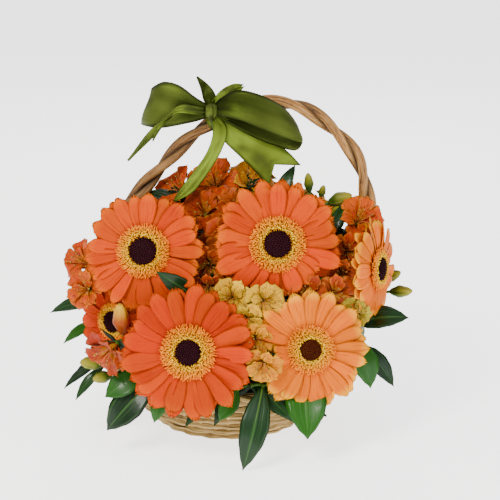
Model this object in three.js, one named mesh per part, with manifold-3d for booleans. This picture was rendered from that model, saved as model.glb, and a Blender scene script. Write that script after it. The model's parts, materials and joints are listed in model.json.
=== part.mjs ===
// A flower basket arrangement: a shallow woven basket with a tall twisted handle and a satin bow,
// filled with gerberas, alstroemeria sprays, buds and glossy leaves that stand in floral foam.
// Millimetres. +X is right, +Y is away from the front, +Z is up. The origin is the centre of the
// basket's underside.
import * as THREE from "three";
import { mergeVertices } from "three/addons/utils/BufferGeometryUtils.js";
import Module from "manifold-3d";

const wasm = await Module();
wasm.setup();

// Driving dimensions
const BASE_RADIUS = 55;
const MOUTH_RADIUS = 96;
const BASKET_HEIGHT = 42;
const WALL = 4;
const WEAVE_COLUMNS = 40;
const WEAVE_ROWS = 6;
const WEAVE_OUT = 1.7;
const WEAVE_IN = 1.3;
const BORDER_RADIUS = 5;
const BORDER_SWELL = 0.7;
const HANDLE_FOOT_RADIUS = 7;
const HANDLE_TOP_RADIUS = 5.2;
const HANDLE_LOBE = 0.17;
const HANDLE_PITCH = 54;
const LINER_WALL = 1.2;
const LINER_TOP = 39;
const FOAM_RADIUS = 62;
const FOAM_TOP = 76;
const FOAM_CHAMFER = 7;
const STEM_DEPTH = 24;
const GERBERA_STEM_RADIUS = 2.6;
const SPRAY_STEM_RADIUS = 1.9;
const GAP = 0.35;
const CUT_CLEARANCE = 0.5;
const TOUCH_CLEARANCE = 0.15;
const PETAL_THICKNESS = 1.1;
const LEAF_THICKNESS = 1.1;
const RIBBON_THICKNESS = 0.8;

const V = THREE.Vector3;
const STEM_CENTRE = new V(0, 0, 10);
const UP = new V(0, 0, 1);
const root = new THREE.Group();

// A seeded draw between -1 and 1, so that every build gives the same flowers.
function seeded(seed) {
  let state = seed;
  return () => {
    state = (state * 1103515245 + 12345) % 2147483648;
    return (state / 2147483648) * 2 - 1;
  };
}

const vector = ([x, y, z]) => new V(x, y, z);

// A closed triangle surface that is gathered point by point.
class Shell {
  constructor() {
    this.points = [];
    this.faces = [];
  }
  point(v) {
    this.points.push(v.x, v.y, v.z);
    return this.points.length / 3 - 1;
  }
  face(a, b, c) {
    this.faces.push(a, b, c);
  }
  quad(a, b, c, d) {
    this.face(a, b, c);
    this.face(a, c, d);
  }
  solid() {
    const mesh = new wasm.Mesh({
      numProp: 3,
      vertProperties: new Float32Array(this.points),
      triVerts: new Uint32Array(this.faces),
    });
    return new wasm.Manifold(mesh);
  }
}

// Directions along a line of points that turn as little as they can.
function framesAlong(path) {
  const last = path.length - 1;
  let normal = null;
  return path.map((point, i) => {
    const ahead = path[Math.min(i + 1, last)];
    const behind = path[Math.max(i - 1, 0)];
    const tangent = ahead.clone().sub(behind).normalize();
    if (!normal) normal = Math.abs(tangent.z) < 0.9 ? UP.clone() : new V(1, 0, 0);
    normal = normal.clone().addScaledVector(tangent, -normal.dot(tangent)).normalize();
    return { point, tangent, normal, side: tangent.clone().cross(normal) };
  });
}

// A closed tube along a line of points. radiusAt(i, angle) gives the section at each point.
function tube(path, sides, radiusAt, turnAt = () => 0) {
  const shell = new Shell();
  const rings = framesAlong(path).map(({ point, normal, side }, i) => {
    const ring = [];
    for (let j = 0; j < sides; j++) {
      const angle = (j / sides) * 2 * Math.PI;
      const turned = angle + turnAt(i);
      const r = radiusAt(i, angle);
      const at = point.clone();
      at.addScaledVector(normal, r * Math.cos(turned));
      at.addScaledVector(side, r * Math.sin(turned));
      ring.push(shell.point(at));
    }
    return ring;
  });
  for (let i = 0; i + 1 < rings.length; i++) {
    for (let j = 0; j < sides; j++) {
      const k = (j + 1) % sides;
      shell.quad(rings[i][j], rings[i][k], rings[i + 1][k], rings[i + 1][j]);
    }
  }
  const [first, end] = [rings[0], rings[rings.length - 1]];
  for (let j = 1; j + 1 < sides; j++) {
    shell.face(first[0], first[j + 1], first[j]);
    shell.face(end[0], end[j], end[j + 1]);
  }
  return shell.solid();
}

// A strip of ribbon: two faces a thickness apart along a centre line, with a half width at each point.
function ribbon(stations) {
  const shell = new Shell();
  const count = stations.length;
  const rows = stations.map(({ at, half }, i) => {
    const ahead = stations[Math.min(i + 1, count - 1)].at;
    const behind = stations[Math.max(i - 1, 0)].at;
    const along = ahead.clone().sub(behind).normalize();
    const off = along.cross(half).normalize().multiplyScalar(RIBBON_THICKNESS / 2);
    const left = at.clone().sub(half);
    const right = at.clone().add(half);
    return [
      shell.point(left.clone().add(off)),
      shell.point(right.clone().add(off)),
      shell.point(right.clone().sub(off)),
      shell.point(left.clone().sub(off)),
    ];
  });
  for (let i = 0; i + 1 < count; i++) {
    const [p, q] = [rows[i], rows[i + 1]];
    shell.quad(p[1], p[0], q[0], q[1]);
    shell.quad(p[2], p[1], q[1], q[2]);
    shell.quad(p[2], q[2], q[3], p[3]);
    shell.quad(p[0], p[3], q[3], q[0]);
  }
  const [first, end] = [rows[0], rows[count - 1]];
  shell.quad(first[0], first[1], first[2], first[3]);
  shell.quad(end[3], end[2], end[1], end[0]);
  return shell.solid();
}

// A wheel of petals round a small hub, as one closed surface. Neighbours share the points between
// their roots, and each petal is a thin blade with a rib along its middle.
function wheel({ hubRadius, top: topPoint, bottom: bottomPoint, petals }) {
  const shell = new Shell();
  const count = petals.length;
  const half = PETAL_THICKNESS / 2;
  const polar = (r, angle, z) => new V(r * Math.cos(angle), r * Math.sin(angle), z);
  const pitch = (2 * Math.PI) / count;
  const corners = petals.map((_, k) => shell.point(polar(hubRadius, (k - 0.5) * pitch, 0)));
  const top = shell.point(topPoint);
  const bottom = shell.point(bottomPoint);
  petals.forEach(({ stations, tip }, k) => {
    const angle = k * pitch;
    const next = corners[(k + 1) % count];
    let left = corners[k];
    let right = next;
    let over = shell.point(polar(hubRadius, angle, half));
    let under = shell.point(polar(hubRadius, angle, -half));
    shell.face(top, left, over);
    shell.face(top, over, right);
    shell.face(bottom, under, left);
    shell.face(bottom, right, under);
    const across = new V(-Math.sin(angle), Math.cos(angle), 0);
    for (const { r, z, width, lift } of stations) {
      const middle = polar(r, angle, z);
      const edge = middle.clone().add(new V(0, 0, lift));
      const newLeft = shell.point(edge.clone().addScaledVector(across, -width / 2));
      const newRight = shell.point(edge.clone().addScaledVector(across, width / 2));
      const newOver = shell.point(middle.clone().add(new V(0, 0, half)));
      const newUnder = shell.point(middle.clone().add(new V(0, 0, -half)));
      shell.quad(left, newLeft, newOver, over);
      shell.quad(over, newOver, newRight, right);
      shell.face(left, newUnder, newLeft);
      shell.face(left, under, newUnder);
      shell.face(under, newRight, newUnder);
      shell.face(under, right, newRight);
      [left, right, over, under] = [newLeft, newRight, newOver, newUnder];
    }
    const end = shell.point(polar(tip.r, angle, tip.z));
    shell.face(left, end, over);
    shell.face(over, end, right);
    shell.face(left, under, end);
    shell.face(under, right, end);
  });
  return shell.solid();
}

// A leaf: a blade that is ribbed along its middle, bowed and folded, on a stalk from its fork.
const LEAF_STATIONS = [
  { t: 0, width: 0, thick: 2.2 },
  { t: 0.2, width: 0.68, thick: LEAF_THICKNESS },
  { t: 0.45, width: 1, thick: LEAF_THICKNESS },
  { t: 0.76, width: 0.66, thick: LEAF_THICKNESS },
];

function leafBlade({ from, to, half, face, bow = 0.1, fold = 0.15 }, fork) {
  const start = vector(from);
  const end = vector(to);
  const along = end.clone().sub(start);
  const length = along.length();
  const side = along.clone().cross(vector(face)).normalize();
  const normal = side.clone().cross(along).normalize();
  const shell = new Shell();
  const middleAt = (t) => {
    const middle = start.clone().addScaledVector(along, t);
    return middle.addScaledVector(normal, bow * length * 4 * t * (1 - t));
  };
  const arriving = start.clone().sub(fork).normalize();
  const going = middleAt(LEAF_STATIONS[1].t).sub(start).normalize();
  const mitre = arriving.add(going).normalize();
  const rows = LEAF_STATIONS.map(({ t, width, thick }, i) => {
    const middle = middleAt(t);
    const across = side.clone();
    const up = normal.clone();
    if (i === 0) {
      across.addScaledVector(mitre, -across.dot(mitre)).normalize();
      up.copy(across).cross(mitre).normalize();
    }
    const reach = Math.max(half * width, 1.1);
    const edge = middle.clone().addScaledVector(up, i ? fold * reach : 0);
    return {
      over: shell.point(middle.clone().addScaledVector(up, thick / 2)),
      under: shell.point(middle.clone().addScaledVector(up, -thick / 2)),
      left: shell.point(edge.clone().addScaledVector(across, reach)),
      right: shell.point(edge.clone().addScaledVector(across, -reach)),
    };
  });
  const close = (point, { left, right, over, under }, outward) => {
    const corners = [left, over, right, under];
    for (let j = 0; j < 4; j++) {
      const [c, d] = [corners[j], corners[(j + 1) % 4]];
      if (outward) shell.face(c, point, d);
      else shell.face(point, c, d);
    }
  };
  close(shell.point(fork), rows[0], false);
  for (let i = 0; i + 1 < rows.length; i++) {
    const [p, q] = [rows[i], rows[i + 1]];
    shell.quad(p.left, q.left, q.over, p.over);
    shell.quad(p.over, q.over, q.right, p.right);
    shell.face(p.left, q.under, q.left);
    shell.face(p.left, p.under, q.under);
    shell.face(p.under, q.right, q.under);
    shell.face(p.under, p.right, q.right);
  }
  close(shell.point(end), rows[rows.length - 1], true);
  return shell.solid();
}

// The placing matrix of a flower head: its local +Z looks along facing.
function placed(at, facing, turn = 0) {
  const z = vector(facing).normalize();
  const x = (Math.abs(z.z) > 0.97 ? new V(0, 1, 0) : UP).clone().cross(z).normalize();
  const y = z.clone().cross(x);
  const matrix = new THREE.Matrix4().makeBasis(x, y, z).setPosition(vector(at));
  return matrix.multiply(new THREE.Matrix4().makeRotationZ(turn));
}

const atPlace = (solid, matrix) => solid.transform(matrix.elements);

// A copy of a solid with its surface moved out, which leaves room round the real one.
function grown(solid, distance) {
  const mesh = solid.getMesh();
  const { numProp, numVert, vertProperties, triVerts } = mesh;
  const corner = (i) => new V(...vertProperties.slice(i * numProp, i * numProp + 3));
  const normals = Array.from({ length: numVert }, () => new V());
  for (let t = 0; t < triVerts.length; t += 3) {
    const ids = [triVerts[t], triVerts[t + 1], triVerts[t + 2]];
    const [a, b, c] = ids.map(corner);
    const outward = b.clone().sub(a).cross(c.clone().sub(a)).normalize();
    [[a, b, c], [b, c, a], [c, a, b]].forEach(([at, next, before], k) => {
      const angle = next.clone().sub(at).angleTo(before.clone().sub(at));
      normals[ids[k]].addScaledVector(outward, angle);
    });
  }
  const moved = new Float32Array(numVert * 3);
  for (let i = 0; i < numVert; i++) {
    const at = corner(i).addScaledVector(normals[i].normalize(), distance);
    moved.set([at.x, at.y, at.z], i * 3);
  }
  return new wasm.Manifold(new wasm.Mesh({ numProp: 3, vertProperties: moved, triVerts }));
}

const overlaps = (a, b) => a.min.every((low, i) => low < b.max[i] && b.min[i] < a.max[i]);

// The pieces in the order that they are placed. A later piece gives way to an earlier one.
const pieces = [];

// Adds a piece as a named mesh, cut clear of every piece that is already there.
function addPiece(name, solid, colour, roughness) {
  let made = solid;
  for (const other of pieces) {
    if (!overlaps(made.boundingBox(), other.room.boundingBox())) continue;
    if (made.intersect(other.skin).volume() < 1e-4) continue;
    made = made.subtract(other.room);
  }
  const bodies = made.decompose().sort((a, b) => b.volume() - a.volume());
  made = bodies[0];
  const room = grown(made, CUT_CLEARANCE);
  const skin = grown(made, TOUCH_CLEARANCE);
  pieces.push({ room, skin });
  const mesh = made.getMesh();
  const geometry = new THREE.BufferGeometry();
  geometry.setAttribute("position", new THREE.BufferAttribute(mesh.vertProperties, mesh.numProp));
  geometry.setIndex(new THREE.BufferAttribute(mesh.triVerts, 1));
  geometry.computeVertexNormals();
  const material = new THREE.MeshStandardMaterial({ color: colour, roughness, metalness: 0 });
  const node = new THREE.Mesh(geometry, material);
  node.name = name;
  root.add(node);
}

// Basket bowl: over-and-under weave as relief on a flared wall, with a flat floor.
function basketBowl() {
  const shell = new Shell();
  const flare = MOUTH_RADIUS - BASE_RADIUS;
  const wallRadius = (z) => BASE_RADIUS + flare * Math.pow(z / BASKET_HEIGHT, 0.85);
  const ring = (z, radiusAt) => {
    const indices = [];
    for (let j = 0; j < WEAVE_COLUMNS; j++) {
      const angle = (j / WEAVE_COLUMNS) * 2 * Math.PI;
      const r = radiusAt(j);
      indices.push(shell.point(new V(r * Math.cos(angle), r * Math.sin(angle), z)));
    }
    return indices;
  };
  const rings = [ring(0, () => BASE_RADIUS)];
  for (let row = 1; row < WEAVE_ROWS; row++) {
    const z = (BASKET_HEIGHT * row) / WEAVE_ROWS;
    rings.push(ring(z, (j) => wallRadius(z) + ((j + row) % 2 ? WEAVE_OUT : -WEAVE_IN)));
  }
  rings.push(ring(BASKET_HEIGHT, () => MOUTH_RADIUS));
  rings.push(ring(BASKET_HEIGHT, () => MOUTH_RADIUS - WALL * 1.3));
  const middle = BASKET_HEIGHT / 2;
  rings.push(ring(middle, () => wallRadius(middle) - WALL * 1.4));
  rings.push(ring(WALL, () => BASE_RADIUS - WALL));
  for (let i = 0; i + 1 < rings.length; i++) {
    for (let j = 0; j < WEAVE_COLUMNS; j++) {
      const k = (j + 1) % WEAVE_COLUMNS;
      shell.quad(rings[i][j], rings[i][k], rings[i + 1][k], rings[i + 1][j]);
    }
  }
  const underside = shell.point(new V(0, 0, 0));
  const floor = shell.point(new V(0, 0, WALL));
  const floorRing = rings[rings.length - 1];
  for (let j = 0; j < WEAVE_COLUMNS; j++) {
    const k = (j + 1) % WEAVE_COLUMNS;
    shell.face(underside, rings[0][k], rings[0][j]);
    shell.face(floor, floorRing[j], floorRing[k]);
  }
  return shell.solid();
}

// Border: a closed rope of two strands that lies on the mouth.
function basketBorder() {
  const steps = 48;
  const sides = 6;
  const turns = 16;
  const centreRadius = MOUTH_RADIUS - WALL / 2;
  const centreHeight = BASKET_HEIGHT + GAP + BORDER_RADIUS + BORDER_SWELL / 2;
  const shell = new Shell();
  const rings = [];
  for (let i = 0; i < steps; i++) {
    const around = (i / steps) * 2 * Math.PI;
    const ring = [];
    for (let j = 0; j < sides; j++) {
      const angle = ((j + 0.5) / sides) * 2 * Math.PI;
      const swell = BORDER_SWELL * Math.cos(2 * angle + turns * around);
      const r = BORDER_RADIUS + swell;
      const out = centreRadius + r * Math.cos(angle);
      const z = centreHeight + r * Math.sin(angle);
      ring.push(shell.point(new V(out * Math.cos(around), out * Math.sin(around), z)));
    }
    rings.push(ring);
  }
  rings.forEach((ring, i) => {
    const next = rings[(i + 1) % steps];
    for (let j = 0; j < sides; j++) {
      const k = (j + 1) % sides;
      shell.quad(ring[j], next[j], next[k], ring[k]);
    }
  });
  return shell.solid();
}

// Handle: an arch of twisted strands whose feet stand inside the wall, left and right.
const HANDLE_ROUTE = [
  [-72.4, 0, 34], [-77, 0, 41.5], [-81.3, 0, 49], [-84.5, 0, 57], [-93, 0, 74], [-106, 0, 100],
  [-111, 0, 130], [-105, 0, 160],
  [-92, 0, 181], [-78, 0, 196], [-64, 0, 212], [-48, 0, 230], [-32, 0, 246], [-15, 0, 258],
  [5, 0, 270], [28, 0, 275], [47, 0, 275], [64, 0, 270], [80, 0, 259], [95, 0, 245],
  [105, 0, 232], [111, 0, 219], [115, 0, 203], [118, 0, 185], [120, 0, 155], [118, 0, 125],
  [110, 0, 96], [95, 0, 74], [84.5, 0, 57], [81.3, 0, 49], [77, 0, 41.5], [72.4, 0, 34],
].map(vector);
const HANDLE_HEIGHT = 275;
const handleCurve = new THREE.CatmullRomCurve3(HANDLE_ROUTE, false, "centripetal");

function basketHandle() {
  const steps = 54;
  const path = handleCurve.getSpacedPoints(steps);
  const length = handleCurve.getLength();
  const turn = (i) => ((i / steps) * length * 2 * Math.PI) / HANDLE_PITCH;
  const thickness = (i) => {
    const height = path[i].z / HANDLE_HEIGHT;
    return THREE.MathUtils.lerp(HANDLE_FOOT_RADIUS, HANDLE_TOP_RADIUS, height * height);
  };
  const radiusAt = (i, angle) => thickness(i) * (1 + HANDLE_LOBE * Math.cos(2 * angle));
  return tube(path, 8, radiusAt, turn);
}

// Bow: a band round the handle, a knot on it, two loops and five tails. Each strip is listed from the
// knot outwards as [x, y, z] on its centre line and the half width there.
const BAND_CENTRE = [-11, 0, 260.6];
const BAND_AXIS = [0.85, 0, 0.53];
const BAND_HALF_LENGTH = 7;
const BAND_INNER = 7;
const KNOT = [[-19.4, -10, 269], [-17, -10, 270], [-11, -10, 271], [-8.7, -10, 271.8]];
const KNOT_RADII = [3.2, 6.2, 6.2, 3.2];
const BOW_STRIPS = [
  [
    [-14, -10, 270, 0, 0, 4], [-26, -15, 273, -1, 0, 10], [-39, -19, 277, -1, 2, 16],
    [-53, -19, 277, 2, 2, 19], [-63, -16, 276, 4, 1, 17.5], [-68, -9, 274, 4, 0, 15],
    [-62, -3, 272, 3, 0, 14], [-48, -2, 272, 0, 0, 12], [-30, -5, 271, 0, 0, 8],
    [-15, -9, 270, 0, 0, 4],
  ],
  [
    [-14, -10, 271, 0, 3, 3], [-3, -16, 275, -1, 4, 8], [10, -21, 277, -1, 4, 12],
    [28, -25, 272, 0, 5, 13], [46, -27, 264, 0, 7, 11], [57, -26, 256, 0, 10, 6],
    [60, -22, 250, 0, 12, 2], [55, -17, 247, 0, 9, 6], [42, -15, 251, 0, 5, 9],
    [24, -14, 257, 0, 4, 9], [6, -12, 263, 0, 3, 6], [-13, -10, 270, 0, 3, 2],
  ],
  [
    [-13, -11, 268, 4, 0, 3], [-5, -13, 260, 6, 1, 4], [6, -13, 251, 9, 2, 6],
    [20, -12, 241, 11, 2, 8], [36, -14, 228, 12.5, 1, 9.5],
  ],
  [[31, -13, 233, 5, 0, 5], [33, -15, 220, 3.5, 0, 2.8], [35, -17, 207, 0.6, 0, 0.4]],
  [[37, -11, 236, 6, 0, 4], [49, -14, 231, 4.5, 0, 4], [60, -16, 226, 0.5, 0, 0.6]],
  [
    [-12, -11, 267, 3.5, 0, 1], [-7, -16, 254, 6, 0, 2], [-12, -21, 238, 6.5, 1, 1],
    [-24, -26, 220, 6, 0, -1], [-34, -30, 208, 4.5, 0, -2.5], [-45, -32, 199, 0.7, 0, -0.6],
  ],
  [
    [-15, -10, 269, 0, 1, 3], [-28, -20, 273, 1, 1, 3.5], [-41, -26, 275, 2, 0, 3.5],
    [-53, -26, 266, 4, 0, 3], [-64, -22, 252, 5, 0, 1.5], [-83, -16, 230, 0.7, 0, 0.5],
  ],
  [[-13, -8, 272, 5, 0, 0], [-16, -6, 282, 5, 1, 2], [-20, -5, 290, 3, 0, 2], [-26, -4, 298, 0.6, 0, 0.4]],
  [[-13, -8, 273, -2, 1, 3], [-4, -6, 281, -3, 1, 5], [5, -5, 287, -2, 0, 5], [14, -4, 291, -0.4, 0, 0.8]],
];

function ribbonBow() {
  const centre = vector(BAND_CENTRE);
  const axis = vector(BAND_AXIS).normalize();
  const line = (half) => [-half, half].map((at) => centre.clone().addScaledVector(axis, at));
  const outer = tube(line(BAND_HALF_LENGTH), 10, () => BAND_INNER + RIBBON_THICKNESS + 0.2);
  const inner = tube(line(BAND_HALF_LENGTH + 1), 10, () => BAND_INNER);
  const knot = tube(KNOT.map(vector), 6, (i) => KNOT_RADII[i]);
  const strips = BOW_STRIPS.map((strip) =>
    ribbon(strip.map(([x, y, z, a, b, c]) => ({ at: new V(x, y, z), half: new V(a, b, c) }))),
  );
  return wasm.Manifold.union([outer.subtract(inner), knot, ...strips]).simplify(0.05);
}

// A solid of revolution round the Z axis, from a profile that starts and ends on the axis.
function lathe(profile, sides) {
  const outline = profile.map(([r, z]) => new THREE.Vector2(r, z));
  const geometry = new THREE.LatheGeometry(outline, sides);
  geometry.deleteAttribute("normal");
  geometry.deleteAttribute("uv");
  geometry.rotateX(Math.PI / 2);
  const merged = mergeVertices(geometry, 1e-3);
  const index = merged.index.array;
  const shell = new Shell();
  shell.points = Array.from(merged.attributes.position.array);
  for (let t = 0; t < index.length; t += 3) {
    const [a, b, c] = [index[t], index[t + 1], index[t + 2]];
    if (a !== b && b !== c && c !== a) shell.face(a, b, c);
  }
  return shell.solid();
}

const LINER_FLOOR = WALL + GAP;
const FOAM_FLOOR = LINER_FLOOR + LINER_WALL + GAP;

function linerBowl() {
  const inner = LINER_WALL * 1.15;
  return lathe(
    [
      [0, LINER_FLOOR], [46, LINER_FLOOR], [65, LINER_TOP], [65 - inner, LINER_TOP],
      [46 - inner / 2, LINER_FLOOR + LINER_WALL], [0, LINER_FLOOR + LINER_WALL],
    ],
    24,
  );
}

function foamBlock() {
  return lathe(
    [
      [0, FOAM_FLOOR], [43, FOAM_FLOOR], [FOAM_RADIUS - 1, LINER_TOP + 1],
      [FOAM_RADIUS, FOAM_TOP - FOAM_CHAMFER], [FOAM_RADIUS - FOAM_CHAMFER, FOAM_TOP], [0, FOAM_TOP],
    ],
    20,
  );
}

// Where a line from the stems' centre leaves the foam.
function foamMouth(direction) {
  const toTop = (FOAM_TOP - STEM_CENTRE.z) / direction.z;
  const toSide = FOAM_RADIUS / Math.hypot(direction.x, direction.y);
  return STEM_CENTRE.clone().addScaledVector(direction, Math.min(toTop, toSide));
}

// Stems share the foam: their directions are pushed apart until each has this much room.
const STEM_SPACING = THREE.MathUtils.degToRad(12.5);
const LOWEST_STEM = Math.sin(THREE.MathUtils.degToRad(28));

function spread(directions) {
  for (let round = 0; round < 200; round++) {
    for (let i = 0; i < directions.length; i++) {
      for (let j = i + 1; j < directions.length; j++) {
        const [a, b] = [directions[i], directions[j]];
        const angle = a.angleTo(b);
        if (angle >= STEM_SPACING) continue;
        const push = b.clone().sub(a).normalize().multiplyScalar((STEM_SPACING - angle) / 2);
        b.add(push).normalize();
        a.sub(push).normalize();
      }
      directions[i].z = Math.max(directions[i].z, LOWEST_STEM);
      directions[i].normalize();
    }
  }
}

// The line of a stem: from its start, out of a head or to a fork, down into its hole in the foam.
function stemLine(start, leaving, direction, steps) {
  const mouth = foamMouth(direction);
  const outside = mouth.clone().addScaledVector(direction, 8);
  const reach = start.distanceTo(outside) / 2.4;
  const curve = new THREE.CubicBezierCurve3(
    start,
    start.clone().addScaledVector(leaving, reach),
    outside.clone().addScaledVector(direction, reach),
    outside,
  );
  const line = curve.getPoints(steps);
  line.push(mouth.clone().addScaledVector(direction, -STEM_DEPTH));
  return line;
}

// The plain hole that a stem stands in.
function stemHole(direction, radius, sides) {
  const mouth = foamMouth(direction);
  const end = mouth.clone().addScaledVector(direction, -STEM_DEPTH - GAP);
  const open = mouth.clone().addScaledVector(direction, 9);
  const clear = (radius + GAP + 0.15) / Math.cos(Math.PI / sides);
  return tube([open, end], sides, () => clear);
}

// Gerbera: petals in two heights, a ring of disc florets, a domed eye, and a stem with its calyx.
const GERBERA_PETALS = 24;
const GERBERA_HUB = 14;
const EYE_HEIGHT = 5.9;

function gerberaPetals({ radius, seed, short, droop = 0 }) {
  const draw = seeded(seed);
  const petals = Array.from({ length: GERBERA_PETALS }, (_, k) => {
    const upper = k % 2 === 0;
    const full = radius * (upper ? 0.97 + 0.05 * draw() : 1 + 0.03 * draw());
    const length = full * shortened(short, k);
    const rise = upper ? 2.6 : -1.2;
    const tipDrop = droop + (upper ? 0 : 1.2) + draw();
    const width = 10.4 + 0.7 * draw();
    const near = { r: GERBERA_HUB + 0.42 * (length - GERBERA_HUB), z: rise, width, lift: 0.5 };
    const far = {
      r: GERBERA_HUB + 0.8 * (length - GERBERA_HUB),
      z: rise + 0.4 - droop * 0.5 + (upper ? 0.6 : -0.5),
      width: width * 1.02,
      lift: 0.3,
    };
    const stations = upper ? [near, far] : [{ ...far, r: far.r - 4 }];
    return { stations, tip: { r: length, z: far.z - tipDrop } };
  });
  return wheel({ hubRadius: GERBERA_HUB, top: new V(0, 0, 1), bottom: new V(0, 0, -2.5), petals });
}

function gerberaRing(radius) {
  const shell = new Shell();
  const sectors = 18;
  const floor = 1 + GAP;
  const ring = (r, z, wave = 0, reach = 0) => {
    const indices = [];
    for (let j = 0; j < sectors; j++) {
      const angle = (j / sectors) * 2 * Math.PI;
      const sign = j % 2 ? 1 : -1;
      const at = r + sign * reach;
      indices.push(shell.point(new V(at * Math.cos(angle), at * Math.sin(angle), z + sign * wave)));
    }
    return indices;
  };
  const rows = [
    ring(GERBERA_HUB - 1, floor),
    ring(radius, floor + 2.7, 0.4, 1.1),
    ring(radius * 0.8, floor + 4.2, 0.7),
    ring(radius * 0.6, floor + 3.9, -0.6),
  ];
  const bottom = shell.point(new V(0, 0, floor));
  const top = shell.point(new V(0, 0, floor + 2.2));
  const last = rows[rows.length - 1];
  for (let j = 0; j < sectors; j++) {
    const k = (j + 1) % sectors;
    shell.face(bottom, rows[0][k], rows[0][j]);
    for (let i = 0; i + 1 < rows.length; i++) {
      shell.quad(rows[i][j], rows[i][k], rows[i + 1][k], rows[i + 1][j]);
    }
    shell.face(top, last[j], last[k]);
  }
  return shell.solid();
}

function gerberaEye(radius, height) {
  const sides = 10;
  const low = [];
  const high = [];
  const shell = new Shell();
  for (let j = 0; j < sides; j++) {
    const angle = (j / sides) * 2 * Math.PI;
    const sign = j % 2 ? 1 : -1;
    const outline = (r, z) => new V(r * Math.cos(angle), r * Math.sin(angle), z);
    low.push(shell.point(outline(radius, height)));
    high.push(shell.point(outline(radius * 0.68, height + 2.2 + sign * 0.4)));
  }
  const bottom = shell.point(new V(0, 0, height - 2));
  const top = shell.point(new V(0, 0, height + 2.1));
  for (let j = 0; j < sides; j++) {
    const k = (j + 1) % sides;
    shell.face(bottom, low[k], low[j]);
    shell.quad(low[j], low[k], high[k], high[j]);
    shell.face(top, high[j], high[k]);
  }
  return shell.solid();
}

function gerberaStem(at, facing, direction) {
  const out = vector(facing).normalize();
  const back = out.clone().negate();
  const head = vector(at);
  const calyx = [
    [2.9, 8], [6, 8.6], [10.5, 5], [15, GERBERA_STEM_RADIUS + 0.4],
  ].map(([depth, radius]) => ({ point: head.clone().addScaledVector(back, depth), radius }));
  const start = calyx[calyx.length - 1].point;
  const line = stemLine(start, back, direction, 4).slice(1);
  const path = [...calyx.map(({ point }) => point), ...line];
  const radii = [...calyx.map(({ radius }) => radius), ...line.map(() => GERBERA_STEM_RADIUS)];
  return tube(path, 6, (i) => radii[i]);
}

// Alstroemeria bloom: three broad outer petals and three narrow inner ones in a trumpet.
function alstroemeria(radius, seed, fork) {
  const draw = seeded(seed);
  const scale = radius / 20;
  const at = (r, z, width, lift = 0.6) => ({ r: r * scale, z: z * scale, width: width * scale, lift });
  const petals = Array.from({ length: 6 }, (_, k) => {
    const wave = draw();
    if (k % 2 === 0) {
      return {
        stations: [at(6, 8, 6), at(14.5, 13 + wave, 21, 1.6)],
        tip: { r: (20.5 + wave) * scale, z: (11.5 + wave) * scale },
      };
    }
    return {
      stations: [at(12.5, 16.5 - wave, 14, 1.4)],
      tip: { r: (18.5 + wave) * scale, z: (18 - wave) * scale },
    };
  });
  const top = new V(0, 0, 16 * scale);
  return wheel({ hubRadius: 2.6 * scale, top, bottom: fork, petals });
}

// A closed bud: a pointed drop on its local +Z, whose stalk runs back to the fork.
function bud(length, radius, fork) {
  const sides = 5;
  const shell = new Shell();
  const rows = [[0.1, 0.55], [0.45, 1], [0.82, 0.55]].map(([t, wide]) => {
    const row = [];
    for (let j = 0; j < sides; j++) {
      const angle = (j / sides) * 2 * Math.PI;
      const r = wide * radius;
      row.push(shell.point(new V(r * Math.cos(angle), r * Math.sin(angle), t * length)));
    }
    return row;
  });
  const bottom = shell.point(fork);
  const top = shell.point(new V(0, 0, length));
  for (let j = 0; j < sides; j++) {
    const k = (j + 1) % sides;
    shell.face(bottom, rows[0][k], rows[0][j]);
    shell.quad(rows[0][j], rows[0][k], rows[1][k], rows[1][j]);
    shell.quad(rows[1][j], rows[1][k], rows[2][k], rows[2][j]);
    shell.face(top, rows[2][j], rows[2][k]);
  }
  return shell.solid();
}

// The blooms, buds and leaves of one stem. Their stalks end inside the stem, just under its fork.
function sprayParts({ anchor, blooms = [], buds = [], leaves = [] }, direction) {
  const fork = vector(anchor).addScaledVector(direction, -3.5);
  const inHead = (matrix) => fork.clone().applyMatrix4(matrix.clone().invert());
  const parts = [];
  blooms.forEach(({ at, facing, radius = 19, turn = 0, seed }) => {
    const matrix = placed(at, facing, turn);
    parts.push(atPlace(alstroemeria(radius, seed, inHead(matrix)), matrix));
  });
  buds.forEach(({ at, pointing, length, radius }) => {
    const matrix = placed(at, pointing);
    parts.push(atPlace(bud(length, radius, inHead(matrix)), matrix));
  });
  leaves.forEach((leaf) => parts.push(leafBlade(leaf, fork)));
  return parts;
}

const COLOURS = {
  basket: 0xc4a468, handle: 0xa9804c, ribbon: 0x7d9132, foam: 0x3f5a3a, liner: 0x2e3a30,
  gerberaPetal: 0xec6a28, gerberaRing: 0xe8a828, gerberaEye: 0x2c1620, stem: 0x5f7a3a,
  orange: 0xdd6a22, gold: 0xd99a2a, rust: 0x9c3a1e, bronze: 0xb8642a, yellow: 0xdcc456,
  green: 0x9ca84c, leaf: 0x2f5a2e,
};

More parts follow.
